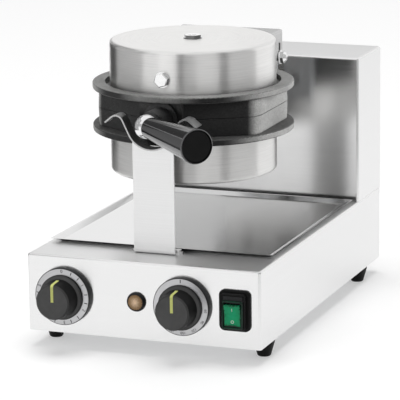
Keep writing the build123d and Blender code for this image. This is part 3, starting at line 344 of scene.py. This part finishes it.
def turned_plastic(name, face, side):
    """Black knob plastic: a satin face painted lighter than the side as a painted sheen, and a darker
    side with fine turned rings round the knob's level axis, the sine of the depth along it."""
    made, tree, shader = finish_named(name)
    here = put(tree, "TexCoord")
    depth = three_parts(tree, here.outputs["Object"])[1]
    facing = three_parts(tree, here.outputs["Normal"])[1]
    on_side = spread(tree, math(tree, "ABSOLUTE", facing), 1.0, 0.0, 0.5, 0.85)
    rings = math(tree, "SINE", times(tree, depth, 2 * np.pi / KNOB_RING_GAP))
    patches = noise(tree, places(tree), scale=60.0, detail=3.0)
    fine = noise(tree, places(tree), scale=900.0)
    dust = shade(tree, spread(tree, patches, 0, 1), (0.85, 0.85, 0.85), (1.15, 1.15, 1.15))
    feed(tree, shader, {
        # The face's lighter colour is a painted sheen
        "Base Color": shade(tree, 1.0, shade(tree, on_side, face, side), dust, how="MULTIPLY"),
        "Roughness": math(tree, "ADD", spread(tree, patches, 0.36, 0.42), times(tree, on_side, 0.12)),
        "IOR": 1.25,
    })
    height = math(tree, "ADD", times(tree, times(tree, rings, on_side), 0.6), fine)
    bump(tree, shader, height, strength=0.3, distance=0.00006)
    return made


def clear_plastic(name, lit_core, body, rim, centre, reach, square=False, ribs=900.0):
    """Clear coloured plastic with painted light: brightest in the middle of its face as a painted glow,
    and deeper towards its rim as painted shade, with fine moulded ribs. The painted light follows the
    distance from the middle, in the piece's own space, round or along the nearer edge of a rectangle;
    reach is where the rim begins."""
    made, tree, shader = finish_named(name)
    out = vector_math(tree, "SUBTRACT", put(tree, "TexCoord").outputs["Object"], centre)
    out = vector_math(tree, "MULTIPLY", out, (1.0 / reach[0], 0.0, 1.0 / reach[1]))
    if square:
        parts = three_parts(tree, vector_math(tree, "ABSOLUTE", out))
        away = math(tree, "MAXIMUM", parts[0], parts[2])
    else:
        away = length(tree, out)
    ribbed = noise(tree, places(tree, (1, 0.2, 1)), scale=ribs, detail=1.0)
    share = math(tree, "ADD", away, spread(tree, ribbed, -0.1, 0.1))
    # Painted glow in the middle and painted shade towards the rim
    inner = shade(tree, spread(tree, share, 0.0, 1.0, 0.1, 0.75), lit_core, body)
    feed(tree, shader, {
        "Base Color": shade(tree, spread(tree, share, 0.0, 1.0, 0.9, 1.1), inner, rim),
        "Roughness": 0.22,
        "Specular IOR Level": 0.22,
    })
    return made


drum_x, drum_y, _ = middle("upper_cover")
spin_axis = (drum_x, drum_y, 0.0)

sheet_steel = brushed_sheet("sheet_steel", (0.82, 0.82, 0.82), rough=0.17, streak=0.5, level_rough=0.14)
hinge_steel = brushed_sheet("hinge_steel", (0.56, 0.56, 0.56), rough=0.2, streak=0.5)
tray_steel = brushed_sheet("tray_steel", (0.78, 0.78, 0.78), rough=0.12, grain=0.6, streak=0.5)
post_steel = brushed_sheet("post_steel", (0.80, 0.80, 0.80), rough=0.3, streak=0.7)
drum_steel = spun_steel("drum_steel", (0.85, 0.845, 0.835), rough=0.34, centre=spin_axis)
# The lower drum: a darker copy of the drum's spun steel, its darker colour painted shade
low_drum_steel_shaded = spun_steel("low_drum_steel_shaded", (0.78, 0.775, 0.765), rough=0.34, centre=spin_axis)
spring_steel = brushed_sheet("spring_steel", (0.5, 0.5, 0.5), rough=0.33)
zinc_plate = plain_metal("zinc_plate", (0.62, 0.63, 0.64), rough=0.35, scratch=0.1)
bright_bolt = plain_metal("bright_bolt", (0.92, 0.92, 0.92), rough=0.14)
nut_painted_light = dark_sided("nut_painted_light", top=(0.92, 0.92, 0.92), side=(0.2, 0.2, 0.2), rough=0.14)
ground_steel = plain_metal("ground_steel", (0.7, 0.7, 0.7), rough=0.2)
chrome = plain_metal("chrome", (0.86, 0.86, 0.87), rough=0.06, scratch=0.04)
dark_chrome = plain_metal("dark_chrome", (0.115, 0.115, 0.118), rough=0.06, scratch=0.05)
bronze = plain_metal("bronze", (0.6, 0.42, 0.18), rough=0.3)
heater_skin = plain_metal("heater_skin", (0.3, 0.28, 0.26), rough=0.4, scratch=0.1)
# The highlight tones are painted highlights on the castings
dark_casting = cast_finish("dark_casting", sooty=(0.010, 0.010, 0.010), highlight_tone=(0.155, 0.155, 0.152))
boss_casting = cast_finish("boss_casting", sooty=(0.03, 0.03, 0.03), highlight_tone=(0.06, 0.06, 0.06))
black_plastic = moulded("black_plastic", (0.009, 0.009, 0.01), rough=0.45, gloss=0.3)
# The face colour is a painted sheen
knob_black = turned_plastic("knob_black", face=(0.09, 0.09, 0.09), side=(0.005, 0.005, 0.005))
rubber = moulded("rubber", (0.006, 0.006, 0.006), rough=0.5, skin=0.3, gloss=0.15)
dial_silver = plain_metal("dial_silver", (0.56, 0.56, 0.57), rough=0.3)
pale_plastic = moulded("pale_plastic", (0.62, 0.6, 0.55), rough=0.5)
line_paint = moulded("line_paint", (0.6, 0.63, 0.2), rough=0.45, gloss=0.3)
print_black = moulded("print_black", (0.01, 0.01, 0.01), rough=0.5, gloss=0.2)
print_white = moulded("print_white", (0.8, 0.85, 0.8), rough=0.5, gloss=0.2)
# The lamp lens's bright core is a painted glow of the lamp inside
amber = clear_plastic(
    "amber", lit_core=(1.0, 0.74, 0.5), body=(0.36, 0.22, 0.11), rim=(0.06, 0.03, 0.02),
    centre=middle("lamp_lens"), reach=(0.0076, 0.0078),
)
green = clear_plastic(
    "green", lit_core=(0.004, 0.43, 0.19), body=(0.003, 0.35, 0.14), rim=(0.004, 0.07, 0.03),
    centre=middle("rocker"), reach=(0.0079, 0.0101), square=True, ribs=500.0,
)
deep_green = clear_plastic(
    "deep_green", lit_core=(0.004, 0.05, 0.025), body=(0.004, 0.04, 0.02), rim=(0.004, 0.02, 0.012),
    centre=middle("rocker"), reach=(0.012, 0.016),
)

WEARS = [
    (sheet_steel, "base_shell rear_housing back_cover"),
    (hinge_steel, "hinge_box"),
    (tray_steel, "tray"),
    (post_steel, "post"),
    (drum_steel, "upper_cover"),
    (low_drum_steel_shaded, "lower_cover"),
    (spring_steel, "cradle"),
    (zinc_plate, "bottom_plate upper_reflector lower_reflector stop_bracket stop_collar yoke"),
    (bright_bolt, "case_screws spindle_screws yoke_bolts hinge_bolts hinge_box_screws"),
    (bright_bolt, "upper_stud lower_stud upper_side_bolt lower_side_bolt"),
    (nut_painted_light, "upper_cover_nut lower_cover_nut"),
    (ground_steel, "spindle handle_shaft timer_shaft thermostat_shaft"),
    (chrome, "elbow"),
    (dark_chrome, "grip"),
    (bronze, "bushes"),
    (heater_skin, "upper_heater lower_heater"),
    (dark_casting, "upper_plate lower_plate bearing_pedestal"),
    (boss_casting, "handle_boss"),
    (black_plastic, "timer_bezel thermostat_bezel lamp_bezel switch_case timer_body"),
    (black_plastic, "thermostat_body cable_gland gland_nut"),
    (knob_black, "timer_knob thermostat_knob"),
    (rubber, "grip_plug feet switch_boot"),
    (dial_silver, "timer_scale thermostat_scale"),
    (pale_plastic, "lamp_body terminal_block"),
    (line_paint, "timer_pointer thermostat_pointer"),
    (amber, "lamp_lens"),
    (green, "rocker"),
]
finish_of = {name: finish for finish, names in WEARS for name in names.split()}
for name, piece in nodes.items():
    piece.data.materials.clear()
    piece.data.materials.append(finish_of[name])


# Shapes

SHARP_FROM = float(np.radians(32))


def mesh_piece(name, points, faces, closed=True):
    """A piece from points and quads; a closed one is turned outward by the sign of its volume,
    the sum of each triangle's triple product."""
    if closed:
        a, b, c, d = (points[faces[:, k]] for k in range(4))
        volume = np.sum(a * np.cross(b, c)) + np.sum(a * np.cross(c, d))
        if volume < 0:
            faces = faces[:, ::-1]
    made = bpy.data.meshes.new(name)
    made.from_pydata(points.tolist(), [], faces.tolist())
    made.update()
    made.shade_smooth()
    made.set_sharp_from_angle(angle=SHARP_FROM)
    piece = bpy.data.objects.new(name, made)
    bpy.context.scene.collection.objects.link(piece)
    return piece


def surface(name, grid, close_u=False, close_v=False):
    """A mesh from a grid of points, rows by columns by xyz, with quads between neighbours; a grid
    closed both ways is a ring."""
    rows, columns = grid.shape[:2]
    index = np.arange(rows * columns).reshape(rows, columns)
    if close_u:
        index = np.concatenate([index, index[:, :1]], axis=1)
    if close_v:
        index = np.concatenate([index, index[:1]], axis=0)
    quads = np.stack([index[:-1, :-1], index[:-1, 1:], index[1:, 1:], index[1:, :-1]], axis=-1)
    return mesh_piece(name, grid.reshape(-1, 3), quads.reshape(-1, 4), close_u and close_v)


def fitted(piece, body, finish):
    """Gives a piece its finish and the body that it rides on."""
    piece.data.materials.clear()
    piece.data.materials.append(finish)
    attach(piece, body)
    return piece


def ring_about(name, profile, centre_x, centre_z, face_y, steps=96):
    """A ring turned about a level axis that points at the user: the profile's pairs are radius
    and how far it stands out from face_y, and each point goes round as radius times the sine and
    cosine of the turn."""
    radius, out = np.array(profile).T[:, :, None]
    turn = np.linspace(0, 2 * np.pi, steps, endpoint=False)[None, :]
    x = centre_x + radius * np.sin(turn)
    z = centre_z + radius * np.cos(turn)
    grid = np.stack([x, face_y - out + 0 * turn, z], axis=-1)
    return surface(name, grid, close_u=True, close_v=True)


def frame_about(name, profile, corner, centre_x, centre_z, face_y, steps=12):
    """A rectangular ring: each profile point is half the width, half the height and how far it
    stands out from face_y, and its line goes round a rectangle whose corners are arcs of radius
    corner, a quarter turn each."""
    half_w, half_h, out = np.array(profile).T[:, :, None]
    quarter = np.arange(4) * np.pi / 2
    turn = (np.linspace(0, np.pi / 2, steps)[None, :] + quarter[:, None]).reshape(1, -1)
    towards = np.repeat(quarter + np.pi / 4, steps)[None, :]
    x = centre_x + np.sign(np.cos(towards)) * (half_w - corner) + corner * np.cos(turn)
    z = centre_z + np.sign(np.sin(towards)) * (half_h - corner) + corner * np.sin(turn)
    grid = np.stack([x, face_y - out + 0 * turn, z], axis=-1)
    return surface(name, grid, close_u=True, close_v=True)


def swept_bar(name, path, across, up, half, tall):
    """A flat bar along a path: at each point four corners, half each way across and tall along
    up, and its two ends closed by a quad each."""
    path, up = np.array(path), np.array(up) * tall
    across = np.array(across) * half
    ring = np.stack([path - across, path + across, path + across + up, path - across + up], axis=1)
    index = np.arange(len(path) * 4).reshape(-1, 4)
    wrapped = np.concatenate([index, index[:, :1]], axis=1)
    corners = [wrapped[:-1, :-1], wrapped[:-1, 1:], wrapped[1:, 1:], wrapped[1:, :-1]]
    sides = np.stack(corners, axis=-1).reshape(-1, 4)
    ends = np.array([index[0, ::-1], index[-1]])
    return mesh_piece(name, ring.reshape(-1, 3), np.concatenate([sides, ends]))


def written(name, marks, thick=0.00006):
    """Raised print: each mark is its text, its height and the place of its middle, with its own
    third axis pointing out of the surface; all of them become one mesh in their places."""
    whole = bmesh.new()
    for text, tall, place in marks:
        curve = bpy.data.curves.new(name, "FONT")
        curve.body = text
        curve.size = tall
        curve.align_x = "CENTER"
        curve.align_y = "CENTER"
        curve.extrude = thick
        holder = bpy.data.objects.new(name, curve)
        bpy.context.scene.collection.objects.link(holder)
        flat = bpy.data.meshes.new_from_object(holder)
        bpy.data.objects.remove(holder)
        bpy.data.curves.remove(curve)
        flat.transform(place)
        whole.from_mesh(flat)
        bpy.data.meshes.remove(flat)
    made = bpy.data.meshes.new(name)
    whole.to_mesh(made)
    whole.free()
    piece = bpy.data.objects.new(name, made)
    bpy.context.scene.collection.objects.link(piece)
    return piece


def facing_user(x, y, z, clock):
    """A place on an upright face that looks at the user, turned clockwise by clock."""
    upright = Matrix(((1, 0, 0, 0), (0, 0, -1, 0), (0, 1, 0, 0), (0, 0, 0, 1)))
    return Matrix.Translation((x, y, z)) @ Matrix.Rotation(clock, 4, "Y") @ upright


def tick_bars(name, clocks, centre_x, centre_z, face_y, inner, outer, half, thick=0.00012):
    """Short bars round a dial: eight corners of a thin box from inner to outer radius at each
    clock turn, worked out for all the turns at once."""
    turn = np.radians(np.array(clocks))[:, None]
    along = np.array([inner, inner, outer, outer] * 2)[None, :]
    aside = np.array([-half, half, half, -half] * 2)[None, :]
    out = np.repeat([0.0, thick], 4)[None, :]
    x = centre_x + along * np.sin(turn) + aside * np.cos(turn)
    z = centre_z + along * np.cos(turn) - aside * np.sin(turn)
    points = np.stack([x, face_y - out + 0 * turn, z], axis=-1)
    box = np.array([
        [0, 1, 2, 3], [7, 6, 5, 4], [0, 4, 5, 1], [1, 5, 6, 2], [2, 6, 7, 3], [3, 7, 4, 0],
    ])
    faces = (box[None] + 8 * np.arange(len(clocks))[:, None, None]).reshape(-1, 4)
    return mesh_piece(name, points.reshape(-1, 3), faces)


# Dials

CUP_OUT = 0.0063
SEAT_OUT = 0.0059
SCALE_OUT = 0.0062
HOLE_R = 0.013
CUP_WALL = 0.0006
TICK_IN = 0.0048
TICK_END = 0.0014
TICK_HALF = 0.0004
NUMBER_IN = 0.0032
ONE_DIGIT_TALL = 0.0048
MORE_DIGITS_TALL = 0.0038
PRINT_LIFT = 0.00004
LINE_HALF = 0.0015
LINE_THICK = 0.00022
panel_y = float(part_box("timer_bezel")[1].y)


def cup_profile(rim):
    """The black cup as pairs of radius and distance out: a wall with a rounded lip, and a seat
    inside it for the scale."""
    return [
        (HOLE_R, 0.0), (rim, 0.0), (rim, CUP_OUT - 0.0008), (rim - 0.0002, CUP_OUT - 0.0002),
        (rim - 0.0004, CUP_OUT), (rim - CUP_WALL, CUP_OUT), (rim - CUP_WALL, SEAT_OUT),
        (HOLE_R, SEAT_OUT),
    ]


def plate_profile(rim):
    """The silver scale as such pairs: a thin flat ring on the seat, with its edges broken."""
    outer = rim - CUP_WALL - 0.0001
    return [
        (HOLE_R + 0.0002, SEAT_OUT), (outer, SEAT_OUT), (outer, SCALE_OUT - 0.0001),
        (outer - 0.0002, SCALE_OUT), (HOLE_R + 0.0003, SCALE_OUT),
        (HOLE_R + 0.0002, SCALE_OUT - 0.0001),
    ]


def number_marks(numbers, radius, centre_x, centre_z):
    """Each number upright along its own radius, at its clock turn."""
    marks = []
    for text, clock in numbers:
        turn = float(np.radians(clock))
        x = centre_x + radius * float(np.sin(turn))
        z = centre_z + radius * float(np.cos(turn))
        tall = ONE_DIGIT_TALL if len(text) == 1 else MORE_DIGITS_TALL
        marks.append((text, tall, facing_user(x, panel_y - SCALE_OUT - PRINT_LIFT, z, turn)))
    return marks


def pointer_line(name, face_y, centre_x, centre_z):
    """The line on a knob: up its face from the middle, over the rounded edge and back along its
    side, with the side's slope; each point is a height above the knob's axis and a depth behind
    its face, and the line's own thickness leans from the face's normal to the side's."""
    high = np.array([0.0004, 0.0164, 0.0172, 0.0179, 0.01815, 0.0192])
    deep = np.array([0.0, 0.0, 0.0006, 0.0014, 0.0025, 0.0152])
    path = np.stack([0 * high + centre_x, face_y + deep, centre_z + high], axis=-1)
    lift_y = np.array([-1, -1, -0.85, -0.5, -0.1, -0.08])
    lift = np.stack([0 * lift_y, lift_y, np.sqrt(1 - lift_y**2)], axis=-1)
    return swept_bar(name, path, (1, 0, 0), lift, LINE_HALF, LINE_THICK)


# Each dial: its numbers with their clock turns in degrees, and its ticks' clock turns
DIALS = {
    "timer": (
        [(str(k), 58.5 * k) for k in range(6)],
        [19.5 * k + 3.0 for k in range(1, 15) if k % 3],
    ),
    "thermostat": ([(str(60 + 30 * k), 94.0 + 27.0 * k) for k in range(7)], [0.0]),
}
for dial, (numbers, ticks) in DIALS.items():
    dial_x, _, dial_z = middle(dial + "_bezel")
    rim = float(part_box(dial + "_bezel")[1].x) - dial_x
    scale_y = panel_y - SCALE_OUT
    cup = ring_about(dial + "_dial_cup", cup_profile(rim), dial_x, dial_z, panel_y)
    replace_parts(fitted(cup, "base", black_plastic), dial + "_bezel")
    plate = ring_about(dial + "_dial_plate", plate_profile(rim), dial_x, dial_z, panel_y)
    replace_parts(fitted(plate, "base", dial_silver), dial + "_scale")
    bars = tick_bars(
        dial + "_ticks", ticks, dial_x, dial_z, scale_y, rim - TICK_IN, rim - TICK_END, TICK_HALF
    )
    fitted(bars, "base", print_black)
    marks = number_marks(numbers, rim - NUMBER_IN, dial_x, dial_z)
    fitted(written(dial + "_numbers", marks), "base", print_black)
    face_y = float(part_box(dial + "_knob")[0].y)
    line = pointer_line(dial + "_pointer_line", face_y, dial_x, dial_z)
    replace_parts(fitted(line, dial, line_paint), dial + "_pointer")


# Pilot lamp

LAMP_HOLE_R = 0.0062
LENS_R = 0.0078
LENS_EDGE_OUT = 0.0036
LENS_SWELL = 0.0012
lamp_x, _, lamp_z = middle("lamp_bezel")
lamp_rim = float(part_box("lamp_bezel")[1].x) - lamp_x
lamp_cup = ring_about(
    "lamp_cup",
    [
        (LAMP_HOLE_R, 0.0), (lamp_rim, 0.0), (lamp_rim, 0.0012), (lamp_rim - 0.0004, 0.0024),
        (lamp_rim - 0.0012, 0.0038), (lamp_rim - 0.0016, 0.0041), (lamp_rim - 0.0019, 0.0040),
        (lamp_rim - 0.0021, 0.0034), (LAMP_HOLE_R, 0.0026),
    ],
    lamp_x, lamp_z, panel_y,
)
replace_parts(fitted(lamp_cup, "base", black_plastic), "lamp_bezel")


def lens_profile():
    """The lens: a dome that stands out by its edge's height plus its swell times the root of one
    less 0.96 of the squared share of the radius, over a foot that narrows towards the panel."""
    share = np.linspace(0.0, 1.0, 9)
    high = LENS_EDGE_OUT + LENS_SWELL * np.sqrt(1 - 0.96 * share**2)
    dome = list(zip((LENS_R * share).tolist(), high.tolist()))
    return [(0.0, 0.0), *dome, (LENS_R, 0.0028), (0.0060, 0.0)]


lamp_dome = ring_about("lamp_dome", lens_profile(), lamp_x, lamp_z, panel_y)
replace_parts(fitted(lamp_dome, "base", amber), "lamp_lens")


# Mains switch

ROCKER_TILT = np.radians(7.0)
# Each finger face rises 1.4 mm from the valley over its 11 mm
ROCKER_DIP = float(np.arctan2(1.4, 11.0))
PIVOT_IN = 0.003
PIVOT_DROP = 0.0025
VALLEY_OUT = 0.004
MARK_LIFT = 0.00003
ON_TALL = 0.0046
OFF_TALL = 0.0044
ON_UP = 0.0058
OFF_UP = -0.0068
boot_low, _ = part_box("switch_boot")
rocker_x, _, _ = middle("rocker")
rocker_pivot = Vector((rocker_x, float(boot_low.y) + PIVOT_IN, middle("switch_boot")[2] - PIVOT_DROP))
rocker_up = Vector((0, -np.sin(ROCKER_TILT), np.cos(ROCKER_TILT)))
rocker_out = Vector((0, -np.cos(ROCKER_TILT), -np.sin(ROCKER_TILT)))


def on_rocker(up, dip):
    """A place on one of the rocker's two finger faces, up from its pivot along the tilted rocker
    and leaning by dip, a hair above the face."""
    out = VALLEY_OUT + abs(up) * np.tan(abs(dip)) + MARK_LIFT
    along = rocker_up * np.cos(dip) + rocker_out * np.sin(dip)
    normal = rocker_out * np.cos(dip) - rocker_up * np.sin(dip)
    place = rocker_pivot + rocker_up * up + rocker_out * out
    turned = Matrix((Vector((1, 0, 0)), along, normal)).transposed().to_4x4()
    return Matrix.Translation(place) @ turned


on_mark = ("I", ON_TALL, on_rocker(ON_UP, ROCKER_DIP))
off_mark = ("O", OFF_TALL, on_rocker(OFF_UP, -ROCKER_DIP))
switch_marks = written("switch_marks", [on_mark, off_mark])
fitted(switch_marks, "mains_rocker", print_white)

COVER_CORNER = 0.0022
# The cover's section: half the width, half the height and how far it stands out from the boot
COVER_SECTION = [
    (0.0093, 0.0125, 0.0009), (0.0108, 0.0142, 0.0009), (0.0110, 0.0144, 0.0014),
    (0.0107, 0.0141, 0.0022), (0.0100, 0.0134, 0.0026), (0.0095, 0.0128, 0.0024),
    (0.0093, 0.0125, 0.0018),
]
boot_out = panel_y - float(boot_low.y)
switch_cover = frame_about(
    "switch_cover",
    [(half_w, half_h, boot_out + out) for half_w, half_h, out in COVER_SECTION],
    COVER_CORNER, rocker_x, float(rocker_pivot.z), panel_y,
)
fitted(switch_cover, "base", deep_green)


# Studio

FLOOR_GLOW = 0.38
FLOOR_PAPER = 0.68
FLOOR_REACH = 6.0


def seen_share(tree):
    """1 for rays from the camera, mirrored rays and rays through clear pieces, else 0."""
    path = put(tree, "LightPath")
    seen = math(tree, "ADD", path.outputs["Is Camera Ray"], path.outputs["Is Glossy Ray"])
    seen = math(tree, "ADD", seen, path.outputs["Is Transmission Ray"])
    return math(tree, "MINIMUM", seen, 1.0)


def floor_finish():
    """A pale floor that is white to the camera and in reflections where no shadow lies."""
    made, tree = empty_finish("pale_floor")
    paper = put(tree, "BsdfDiffuse", {"Color": (FLOOR_PAPER, FLOOR_PAPER, FLOOR_PAPER, 1)})
    strength = times(tree, seen_share(tree), FLOOR_GLOW)
    glow = put(tree, "Emission", {"Color": (1, 1, 1, 1), "Strength": strength})
    both = put(tree, "AddShader", {0: paper.outputs[0], 1: glow.outputs[0]})
    put(tree, "OutputMaterial", {"Surface": both.outputs[0]})
    return made


edge = np.linspace(-FLOOR_REACH, FLOOR_REACH, 5)
across, along = np.meshgrid(edge, edge)
floor = surface("floor", np.stack([across, along, 0 * across], axis=-1))
floor.data.materials.append(floor_finish())


def flag(name, turn_from, turn_to, low, high, grey, distance):
    """A curved studio flag: an upright part of a cylinder wall round the object, from one compass
    turn to another, counted from the front towards the user's right. It shows only in
    reflections."""
    turn = np.radians(np.linspace(turn_from, turn_to, 12))[None, :]
    height = np.linspace(low, high, 3)[:, None]
    x = distance * np.sin(turn) + 0 * height
    y = -distance * np.cos(turn) + 0 * height
    card = surface(name, np.stack([x, y, height + 0 * turn], axis=-1))
    finish, tree = empty_finish(name)
    glow = put(tree, "Emission", {"Color": (grey, grey, grey, 1), "Strength": 1.0})
    put(tree, "OutputMaterial", {"Surface": glow.outputs[0]})
    card.data.materials.append(finish)
    card.visible_camera = False
    card.visible_diffuse = False
    card.visible_shadow = False


FAR = 0.62
NEAR = 0.61
# Each flag: compass turns from and to, lower and upper edge, grey, and distance
FLAGS = {
    "flag_left_rear": (-130, -100, 0.0, 0.38, 0.06, FAR),
    "flag_left_rear_high": (-130, -100, 0.38, 0.9, 0.16, FAR),
    "slit_low": (-130, -60, 0.40, 0.42, 1.1, NEAR),
    "slit_high": (-130, -60, 0.62, 0.65, 1.1, NEAR),
    "flag_left": (-100, -46, 0.0, 0.9, 0.45, FAR),
    "flag_left_low": (-100, -66, 0.0, 0.085, 0.22, NEAR),
    "flag_left_high": (-46, -24, 0.28, 0.5, 0.5, FAR),
    "flag_front": (0.5, 8, 0.0, 0.9, 0.16, FAR),
    "flag_front_low": (8, 22, 0.0, 0.14, 0.04, NEAR),
    "flag_front_right": (8, 53, 0.0, 0.9, 0.66, FAR),
    "flag_right_edge": (53, 65, 0.0, 0.9, 0.14, FAR),
    "flag_right": (65, 110, 0.0, 0.9, 0.52, FAR),
    "flag_rear": (166, 184, 0.0, 0.26, 0.10, FAR),
    "flag_rear_top": (179, 197, 0.27, 0.43, 0.6, FAR),
}
for flag_name, shape in FLAGS.items():
    flag(flag_name, *shape)

AIM_HIGH = 0.15


def softbox(name, turn, rise, distance, size, power, lights_only=()):
    """A square area lamp at a compass turn and a rise above level, aimed at the object.
    Nothing mirrors it, and it may light only some pieces."""
    lamp = bpy.data.lights.new(name, "AREA")
    lamp.size = size
    lamp.energy = power
    piece = bpy.data.objects.new(name, lamp)
    bpy.context.scene.collection.objects.link(piece)
    a, b = np.radians(turn), np.radians(rise)
    place = Vector((np.sin(a) * np.cos(b), -np.cos(a) * np.cos(b), np.sin(b))) * distance
    piece.location = place + Vector((0, 0, AIM_HIGH))
    piece.rotation_euler = place.to_track_quat("Z", "Y").to_euler()
    piece.visible_glossy = False
    if lights_only:
        group = bpy.data.collections.new(name + "_lit")
        for lit in lights_only:
            group.objects.link(nodes[lit])
        piece.light_linking.receiver_collection = group


softbox("top_box", turn=175, rise=87, distance=6.0, size=4.2, power=250)
softbox("front_left_box", turn=-38, rise=35, distance=2.8, size=1.6, power=12)
softbox(
    "right_box", turn=98, rise=20, distance=1.8, size=1.0, power=86,
    lights_only=("upper_plate", "lower_plate"),
)
softbox(
    "left_box", turn=-60, rise=12, distance=1.8, size=0.8, power=70,
    lights_only=("upper_plate", "lower_plate", "handle_boss"),
)

SKY_LIGHT = 0.32


def studio_sky():
    """A world that is white to the camera and in reflections, and weaker as a light."""
    world = bpy.data.worlds.new("studio")
    bpy.context.scene.world = world
    world.use_nodes = True
    sky = world.node_tree
    sky.nodes.clear()
    seen = seen_share(sky)
    plain = put(sky, "Background", {"Color": (1, 1, 1, 1), "Strength": SKY_LIGHT})
    white = put(sky, "Background", {"Color": (1, 1, 1, 1), "Strength": 1.0})
    either = put(sky, "MixShader", {0: seen, 1: plain.outputs[0], 2: white.outputs[0]})
    put(sky, "OutputWorld", {"Surface": either.outputs[0]})


studio_sky()


# Camera: its turns in degrees, its lens and the picture's middle in pixels, its place in metres

SENSOR = 36.0
PHOTO = 400.0
cam_turn, cam_fall, cam_roll = np.radians([20.85, 12.94, -0.70])
cam_focal = 2692.5
cam_middle = (199.6, 199.4)
cam_place = Vector((0.9784, -2.5806, 0.7571))
forward = Vector((
    -np.sin(cam_turn) * np.cos(cam_fall), np.cos(cam_turn) * np.cos(cam_fall), -np.sin(cam_fall),
))
level_right = Vector((np.cos(cam_turn), np.sin(cam_turn), 0))
level_up = level_right.cross(forward)
right = level_right * np.cos(cam_roll) + level_up * np.sin(cam_roll)
up = level_up * np.cos(cam_roll) - level_right * np.sin(cam_roll)
turned = Matrix((right, up, -forward)).transposed().to_4x4()
camera = bpy.data.objects.new("camera", bpy.data.cameras.new("camera"))
bpy.context.scene.collection.objects.link(camera)
camera.matrix_world = Matrix.Translation(cam_place) @ turned
camera.data.sensor_width = SENSOR
camera.data.lens = cam_focal / PHOTO * SENSOR
camera.data.shift_x = (PHOTO / 2 - cam_middle[0]) / PHOTO
camera.data.shift_y = (cam_middle[1] - PHOTO / 2) / PHOTO
camera.data.clip_end = 50
bpy.context.scene.camera = camera

bpy.context.scene.view_settings.view_transform = "Standard"
